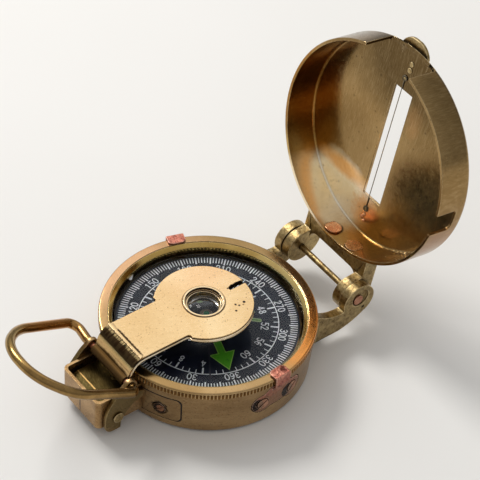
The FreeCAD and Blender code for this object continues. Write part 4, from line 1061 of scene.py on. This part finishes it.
# Each sign is drawn in a box 100 wide and 100 high: "line" goes straight from point to point,
# "curve" runs smoothly through them and "loop" closes on itself.
signs = {
    "0": (("loop", ((50, 100), (93, 78), (93, 22), (50, 0), (7, 22), (7, 78))),),
    "1": (("line", ((22, 80), (58, 100), (58, 0))),),
    "2": (("curve", ((8, 76), (30, 98), (75, 96), (90, 72), (62, 40), (6, 0))),
          ("line", ((6, 0), (96, 0)))),
    "3": (("curve", ((8, 84), (40, 100), (86, 86), (78, 60), (38, 53))),
          ("curve", ((38, 53), (84, 44), (88, 14), (45, 0), (6, 16)))),
    "4": (("line", ((72, 0), (72, 100), (4, 28), (98, 28))),),
    "5": (("line", ((90, 100), (18, 100), (12, 56))),
          ("curve", ((12, 56), (50, 64), (90, 46), (84, 10), (42, 0), (5, 14)))),
    "6": (("curve", ((84, 94), (40, 92), (8, 56), (10, 18), (50, 0), (90, 16), (86, 48), (48, 58), (14, 40))),),
    "7": (("line", ((5, 100), (94, 100), (38, 0))),),
    "8": (("loop", ((50, 100), (86, 78), (50, 54), (14, 78))),
          ("loop", ((50, 54), (94, 27), (50, 0), (6, 27)))),
    "9": (("curve", ((16, 6), (60, 8), (92, 44), (90, 82), (50, 100), (10, 84), (14, 52), (52, 42),
                     (86, 60))),),
    "E": (("line", ((95, 100), (10, 100), (10, 0), (95, 0))), ("line", ((10, 52), (80, 52)))),
    "S": (("curve", ((92, 84), (50, 100), (10, 78), (50, 52), (90, 24), (50, 0), (8, 16))),),
    "W": (("line", ((0, 100), (26, 0), (50, 80), (74, 0), (100, 100))),),
}


def inkSlab(bm, corners, low, high):
    # corners are (x, y) in mm, counter-clockwise
    bottom = [bm.verts.new((x * mm, y * mm, low * mm)) for x, y in corners]
    top = [bm.verts.new((x * mm, y * mm, high * mm)) for x, y in corners]
    bm.faces.new(top)
    bm.faces.new(bottom[::-1])
    count = len(corners)
    for index in range(count):
        after = (index + 1) % count
        bm.faces.new((bottom[index], bottom[after], top[after], top[index]))


def spoke(azimuth, inner, outer, width):
    turn = math.radians(azimuth)
    along = Vector((math.cos(turn), math.sin(turn)))
    across = Vector((-along.y, along.x)) * width / 2
    near, far = along * inner, along * outer
    return [tuple(p) for p in (near - across, far - across, far + across, near + across)]


def inkStroke(bm, points, width, low, high, closed):
    # a stroke of even width along points in mm, with rounded ends
    rows = []
    for before, here, after in walk(points, closed):
        into = (here - before).normalized() if (here - before).length else (after - here).normalized()
        away = (after - here).normalized() if (after - here).length else into
        along = (into + away).normalized()
        across = Vector((-along.y, along.x))
        square = max(0.5, across.dot(Vector((-into.y, into.x))))
        rows.append((here, across, width / 2 / square))
    if not closed:
        for end, sign in ((0, -1), (-1, 1)):
            here, across, half = rows[end]
            along = Vector((across.y, -across.x)) * sign
            caps = [(here + along * half * 0.5, across, half * 0.86),
                    (here + along * half * 0.88, across, half * 0.45)]
            rows = caps[::-1] + rows if end == 0 else rows + caps
    left = [here + across * half for here, across, half in rows]
    right = [here - across * half for here, across, half in rows]
    levels = []
    for height in (low, high):
        for line in (left, right):
            levels.append([bm.verts.new((p.x * mm, p.y * mm, height * mm)) for p in line])
    leftLow, rightLow, leftHigh, rightHigh = levels
    total = len(rows)
    for index in range(total if closed else total - 1):
        after = (index + 1) % total
        bm.faces.new((rightHigh[index], rightHigh[after], leftHigh[after], leftHigh[index]))
        bm.faces.new((rightLow[index], leftLow[index], leftLow[after], rightLow[after]))
        bm.faces.new((rightLow[index], rightLow[after], rightHigh[after], rightHigh[index]))
        bm.faces.new((leftLow[index], leftHigh[index], leftHigh[after], leftLow[after]))
    if not closed:
        bm.faces.new((leftLow[0], rightLow[0], rightHigh[0], leftHigh[0]))
        bm.faces.new((leftLow[-1], leftHigh[-1], rightHigh[-1], rightLow[-1]))


def inkText(bm, text, azimuth, radius, width, height, pitch, stroke, rise=0.0):
    # signs set round the dial with their tops outwards
    turn = math.radians(azimuth)
    out = Vector((math.cos(turn), math.sin(turn)))
    side = Vector((out.y, -out.x))
    start = -(len(text) - 1) * pitch / 2
    low = dial["top"]
    high = low + dial["ink"] + rise
    for place, sign in enumerate(text):
        middle = out * radius + side * (start + place * pitch)
        for kind, points in signs[sign]:
            drawn = [middle + side * (x / 100 - 0.5) * width + out * (y / 100 - 0.5) * height
                     for x, y in points]
            if kind == "line":
                for first, second in zip(drawn, drawn[1:]):
                    inkStroke(bm, (first, second), stroke, low, high, False)
            else:
                path = smoothLine(drawn, kind == "loop", 5)
                inkStroke(bm, path, stroke, low, high, kind == "loop")


def pieceFromInk(name, bm, material, body="dial"):
    newPiece(name, meshOf(name, bm), material, body)


def degreeMarks():
    d = dial
    bm = bmesh.new()
    # first mark, number of marks round the dial, every how many a long one, outer end, short and long ones
    for first, marks, every, outer, short, long in (
        (0, 180, 5, d["degreeOuter"], (d["degreeInner"], d["degreeWidth"]), (d["tenInner"], d["tenWidth"])),
        (1, 64, 4, d["circle"], (d["milInner"], d["milWidth"]), (d["fourInner"], d["fourWidth"])),
    ):
        for mark in range(first, marks):
            inner, width = short if mark % every else long
            corners = spoke(d["north"] - mark * 360 / marks, inner, outer, width)
            inkSlab(bm, corners, d["top"], d["top"] + d["ink"])
    pieceFromInk("dial_marks", bm, whiteInk)


def dialCircle():
    inner = dial["circle"] - dial["circleWidth"] / 2
    outer = dial["circle"] + dial["circleWidth"] / 2
    low, high = dial["top"], dial["top"] + dial["ink"]
    mesh = turnedMesh("dial_circle", [(inner, low), (outer, low), (outer, high), (inner, high)], 240)
    newPiece("dial_circle", mesh, whiteInk, "dial")


def dialNumbers():
    bm = bmesh.new()
    size = (dial["digitWidth"], dial["digitHeight"], dial["digitPitch"], dial["digitStroke"])
    for value in range(0, 360, 30):
        inkText(bm, str(value or 360), dial["north"] - value, dial["degreeNumbers"], *size)
    for mark in range(4, 64, 4):
        inkText(bm, str(mark), dial["north"] - mark * 360 / 64, dial["milNumbers"], *size)
    pieceFromInk("dial_numbers", bm, whiteInk)


def turnedOut(points, azimuth):
    # points drawn with the outward direction along +X
    turn = math.radians(azimuth)
    cos, sin = math.cos(turn), math.sin(turn)
    return [(x * cos - y * sin, x * sin + y * cos) for x, y in points]


def northArrow():
    d = dial
    outline = [
        (d["arrowTip"], 0.0),
        (d["arrowBase"], d["arrowHalf"]),
        (d["arrowBase"], d["shaftHalf"]),
        (d["shaftFoot"], d["shaftHalf"]),
        (d["shaftFoot"], -d["shaftHalf"]),
        (d["arrowBase"], -d["shaftHalf"]),
        (d["arrowBase"], -d["arrowHalf"]),
    ]
    bm = bmesh.new()
    inkSlab(bm, turnedOut(outline, d["north"]), d["top"], d["top"] + d["arrowRise"])
    halfway = (d["top"] + d["arrowRise"] / 2) * mm
    edge = [e for e in bm.edges if all(v.co.z > halfway for v in e.verts)]
    bmesh.ops.bevel(bm, geom=edge, offset=d["arrowEdge"] * mm, segments=2, affect="EDGES", clamp_overlap=True)
    pieceFromInk("dial_arrow", bm, greenInk)
    border = bmesh.new()
    high = d["top"] + d["borderRise"]
    inkStroke(border, turnedOut(outline, d["north"]), d["arrowBorder"], d["top"], high, True)
    pieceFromInk("dial_arrow_border", border, greenEdgeInk)


def quarterLetters():
    # a wide pale stroke with a narrower green one on it
    for name, stroke, rise, ink in (
        ("dial_letters", dial["letterStroke"], 0.0, letterEdgeInk),
        ("dial_letters_fill", dial["letterFill"], dial["fillRise"], lampGreenInk),
    ):
        bm = bmesh.new()
        for text, bearing in (("E", 90), ("S", 180), ("W", 270)):
            wide = dial["letterWidths"][text]
            size = (wide, dial["letterHeight"], wide, stroke)
            inkText(bm, text, dial["north"] - bearing, dial["letters"], *size, rise)
        pieceFromInk(name, bm, ink)


degreeMarks()
dialCircle()
dialNumbers()
northArrow()
quarterLetters()
bevelledCopy("dial_card", dialBlack, 0.05)
bevelledCopy("dial_hub", hubMetal, 0.05)
dress("jewel_cup", jewelGreen)
dress("magnet_bars", darkSteel)
print("dial printed")


# Marks on the glass

glassMarks = {
    "face": 13.7,
    "ink": 0.02,
    "indexAzimuth": -34.8,
    "indexInner": 8.2,
    "indexOuter": 22.6,
    "indexWidth": 0.42,
    # painted light: the side line is dark ink standing for a line that shows in the glass, not a print
    "side": ((12.8, 4.43), (16.7, 4.96)),
    "sideWidth": 0.26,
    "edge": ((-22.9, -8.55), (-24.4, -7.05)),
    "edgeWidth": 0.85,
}


def printOnGlass():
    g = glassMarks
    high = g["face"] + g["ink"]
    bm = bmesh.new()
    inkSlab(bm, spoke(g["indexAzimuth"], g["indexInner"], g["indexOuter"], g["indexWidth"]), g["face"], high)
    # painted light: the side line stands for a line seen in the glass
    inkStroke(bm, g["side"], g["sideWidth"], g["face"], high, False)
    pieceFromInk("glass_index_and_painted_line", bm, darkInk, "bezel")
    bm = bmesh.new()
    inkStroke(bm, g["edge"], g["edgeWidth"], g["face"], high, False)
    pieceFromInk("glass_edge_mark", bm, whiteInk, "bezel")


printOnGlass()
print("glass marked")


# Lens arm

arm = {
    "top": 20.8,
    "punchDots": (           # x, y, radius
        (5.4, 4.45, 0.20), (6.17, 5.07, 0.19), (5.86, 6.84, 0.27), (7.27, 3.28, 0.21), (8.6, -1.2, 0.12),
    ),
    "punchDepth": 0.28,
    "half": 7.2,
    "disc": (-1.7, 12.95),   # its middle's y, its radius
    "strapEnd": -25.4,
    "strapFront": -12.7,
    "beadDrop": 0.86,        # the rolled lip's middle below the top
    "beadFoot": ((-29.7, 3.9), (-29.2, 2.6), (-28.6, 1.5), (-27.8, 0.7), (-26.7, 0.15)),    # y, further drop
    "beadCorner": ((7.36, -12.25), (7.55, -11.85), (7.95, -11.60), (8.4, -11.70)),          # round the relief
    "beadOut": 0.12,         # how far it lies outside the strap, and outside the disc
    "beadOutDisc": 0.10,
    "beadThin": 0.27,        # its radius beside the strap
    "beadStart": -50,        # azimuths on the disc where it starts and dies out
    "beadEnd": 42,
}


def armBead():
    # a rolled lip on the near side, thin beside the strap and fuller round the disc
    a = arm
    middle, radius = a["disc"]
    x = a["half"] + a["beadOut"]
    z = a["top"] - a["beadDrop"]
    path = [(x, y, z - down) for y, down in a["beadFoot"]]
    path += [(x, a["strapEnd"] + (a["strapFront"] - a["strapEnd"]) * part / 12, z) for part in range(13)]
    path += [(x, y, z) for x, y in a["beadCorner"]]
    sizes = [a["beadThin"]] * len(path)
    reach = radius + a["beadOutDisc"]
    for part in range(41):
        share = part / 40
        turn = math.radians(a["beadStart"] + (a["beadEnd"] - a["beadStart"]) * share)
        path.append((reach * math.cos(turn), middle + reach * math.sin(turn), z))
        sizes.append(0.14 + 0.32 * math.sin(math.pi * min(1.0, 0.14 + 0.86 * share)) ** 0.6)
    newPiece("arm_edge_bead", tubeMesh("arm_edge_bead", path, sizes, 14), beadBrass, "arm")


def dressArm():
    armBead()
    dots = [(x, y, arm["top"], radius, arm["punchDepth"]) for x, y, radius in arm["punchDots"]]
    bevelledCopy("lens_arm", armBrass, 0.10, holes=dots)
    bevelledCopy("lens_bush", bushBrass, 0.08, angle=30)
    bevelledCopy("lens_retaining_ring", coneBrass, 0.06)
    dress("lens", lensGlass)


dressArm()
dress("thumb_ring", ringBrass)
print("arm and ring dressed")


# Lid

lid = {
    "ceiling": 21.45,        # inner face of the shut lid's top
    "eyelets": ((-0.6, -20.3), (-0.8, 22.4)),
    "eyeletRadius": 0.62,
    "eyeletWire": 0.17,
    "knots": ((-0.75, 24.3, 0.50), (-1.45, 25.5, 0.62), (-0.45, 26.1, 0.50)),
    "knotHeight": 0.42,
}


def wireEyelets():
    # a turn of wire round each pin of the sight wire
    bm = bmesh.new()
    radius, wire = lid["eyeletRadius"], lid["eyeletWire"]
    turns = [2 * math.pi * step / 20 for step in range(20)]
    for x, y in lid["eyelets"]:
        ring = [lidPoint(
            x + radius * math.cos(turn),
            y + radius * math.sin(turn),
            lid["ceiling"] - wire * (1.0 + 0.5 * math.sin(turn)),
        ) for turn in turns]
        loop = tubeMesh("loop", ring, [wire] * 20, 10, True)
        bm.from_mesh(loop)
        bpy.data.meshes.remove(loop)
    newPiece("wire_eyelets", meshOf("wire_eyelets", bm, 60), darkSteel, "lid")


def solderKnots():
    # small lumps of solder beside the wire's front end
    bm = bmesh.new()
    for x, y, radius in lid["knots"]:
        made = bmesh.ops.create_icosphere(bm, subdivisions=3, radius=1.0)
        for vert in made["verts"]:
            flat = vert.co * (1.0 + 0.12 * noise.noise(vert.co * 1.7 + Vector((x, y, 0))))
            vert.co = Vector(lidPoint(
                x + flat.x * radius,
                y + flat.y * radius,
                lid["ceiling"] - max(-0.05, flat.z) * lid["knotHeight"],
            )) * mm
    newPiece("wire_solder", meshOf("wire_solder", bm, 60), rivetCopper, "lid")


def dressLid():
    dressAll((
        ("lid_shell", lidBrass, "lid_brass", 0.12),
        ("lid_bracket", castBrass, "aged_brass", 0.16),
        ("lid_rivets", rivetCopper, "copper", 0.14),
        ("lid_thumb_tab", castBrass, "aged_brass", 0.12),
        ("tab_rivets", castBrass, "aged_brass", 0.06),
        ("wire_pins", castBrass, "bright_brass", 0.05),
    ))
    dress("sight_wire", darkSteel)
    wireEyelets()
    solderKnots()


dressLid()
print("lid dressed")


# Floor, lamps, sky and camera

camera = {
    "azimuth": 0.8779,       # radians round from looking along +Y
    "elevation": 0.7737,
    "roll": 0.0705,
    "distance": 600.0,
    "target": (-17.042, 23.040, 15.534),
    "lens": 168.1,
}

light = {
    "keyPower": 6.0,
    "keySize": 0.40,
    "keyAt": (-0.72, -0.02, 0.72),
    "keyAimHeight": 0.01,
    "keyColour": (1.0, 0.98, 0.95),
    "skyLow": 0.30,
    "skyHigh": 0.56,
    "skyFull": 0.8,                      # height on the dome's unit ball where it reaches that
    "skyColour": (1.0, 0.99, 0.975, 1.0),
    "window": (-0.55, 0.457, 0.699),     # middle of the sky's broad bright part
    "windowGain": 0.60,
    "windowInner": 0.955,                # cosines of where it is full and where it ends
    "windowOuter": 0.80,
}


def placeCamera():
    azimuth, elevation, roll = camera["azimuth"], camera["elevation"], camera["roll"]
    back = Vector((
        math.sin(azimuth) * math.cos(elevation),
        -math.cos(azimuth) * math.cos(elevation),
        math.sin(elevation),
    ))
    right = Vector((math.cos(azimuth), math.sin(azimuth), 0))
    up = back.cross(right)
    tiltedRight = right * math.cos(roll) + up * math.sin(roll)
    tiltedUp = up * math.cos(roll) - right * math.sin(roll)
    data = bpy.data.cameras.new("camera")
    data.lens = camera["lens"]
    data.sensor_width = 36
    data.clip_start = 0.01
    eye = bpy.data.objects.new("camera", data)
    scene.collection.objects.link(eye)
    turn = Matrix((tiltedRight, tiltedUp, back)).transposed()
    spot = (Vector(camera["target"]) + back * camera["distance"]) * mm
    eye.matrix_world = Matrix.Translation(spot) @ turn.to_4x4()
    scene.camera = eye


def keyLamp():
    data = bpy.data.lights.new("key", "AREA")
    data.energy = light["keyPower"]
    data.shape = "DISK"
    data.size = light["keySize"]
    data.color = light["keyColour"]
    lamp = bpy.data.objects.new("key", data)
    scene.collection.objects.link(lamp)
    lamp.location = light["keyAt"]
    away = Vector(light["keyAt"]) - Vector((0, 0, light["keyAimHeight"]))
    lamp.rotation_euler = away.to_track_quat("Z", "Y").to_euler()


def sky():
    # a pale dome, darker towards the horizon, with one broad soft window in it
    scene.world = bpy.data.worlds.new("sky")
    sheet = NodeSheet(scene.world)
    coord = sheet.coord.outputs["Generated"]
    split = sheet.add("ShaderNodeSeparateXYZ", {0: coord})
    dome = sheet.span(split.outputs["Z"], 0.0, light["skyFull"], light["skyLow"], light["skyHigh"])
    facing = sheet.vector("DOT_PRODUCT", coord, Vector(light["window"]).normalized())
    window = sheet.span(
        facing.outputs["Value"], light["windowOuter"], light["windowInner"], 0.0, light["windowGain"],
        interpolation_type="SMOOTHSTEP",
    )
    strength = sheet.sum("ADD", dome, window)
    back = sheet.add("ShaderNodeBackground", {"Color": light["skyColour"], "Strength": strength})
    sheet.add("ShaderNodeOutputWorld", {0: back.outputs[0]})


def floor():
    half = 2        # metres
    corners = [(-half, -half, 0), (half, -half, 0), (half, half, 0), (-half, half, 0)]
    mesh = meshFrom("floor", corners, [(0, 1, 2, 3)])
    piece = bpy.data.objects.new("floor", mesh)
    scene.collection.objects.link(piece)
    mesh.materials.append(floorPaper())


placeCamera()
sky()
floor()
keyLamp()
scene.view_settings.view_transform = "Standard"
print("camera and light set")
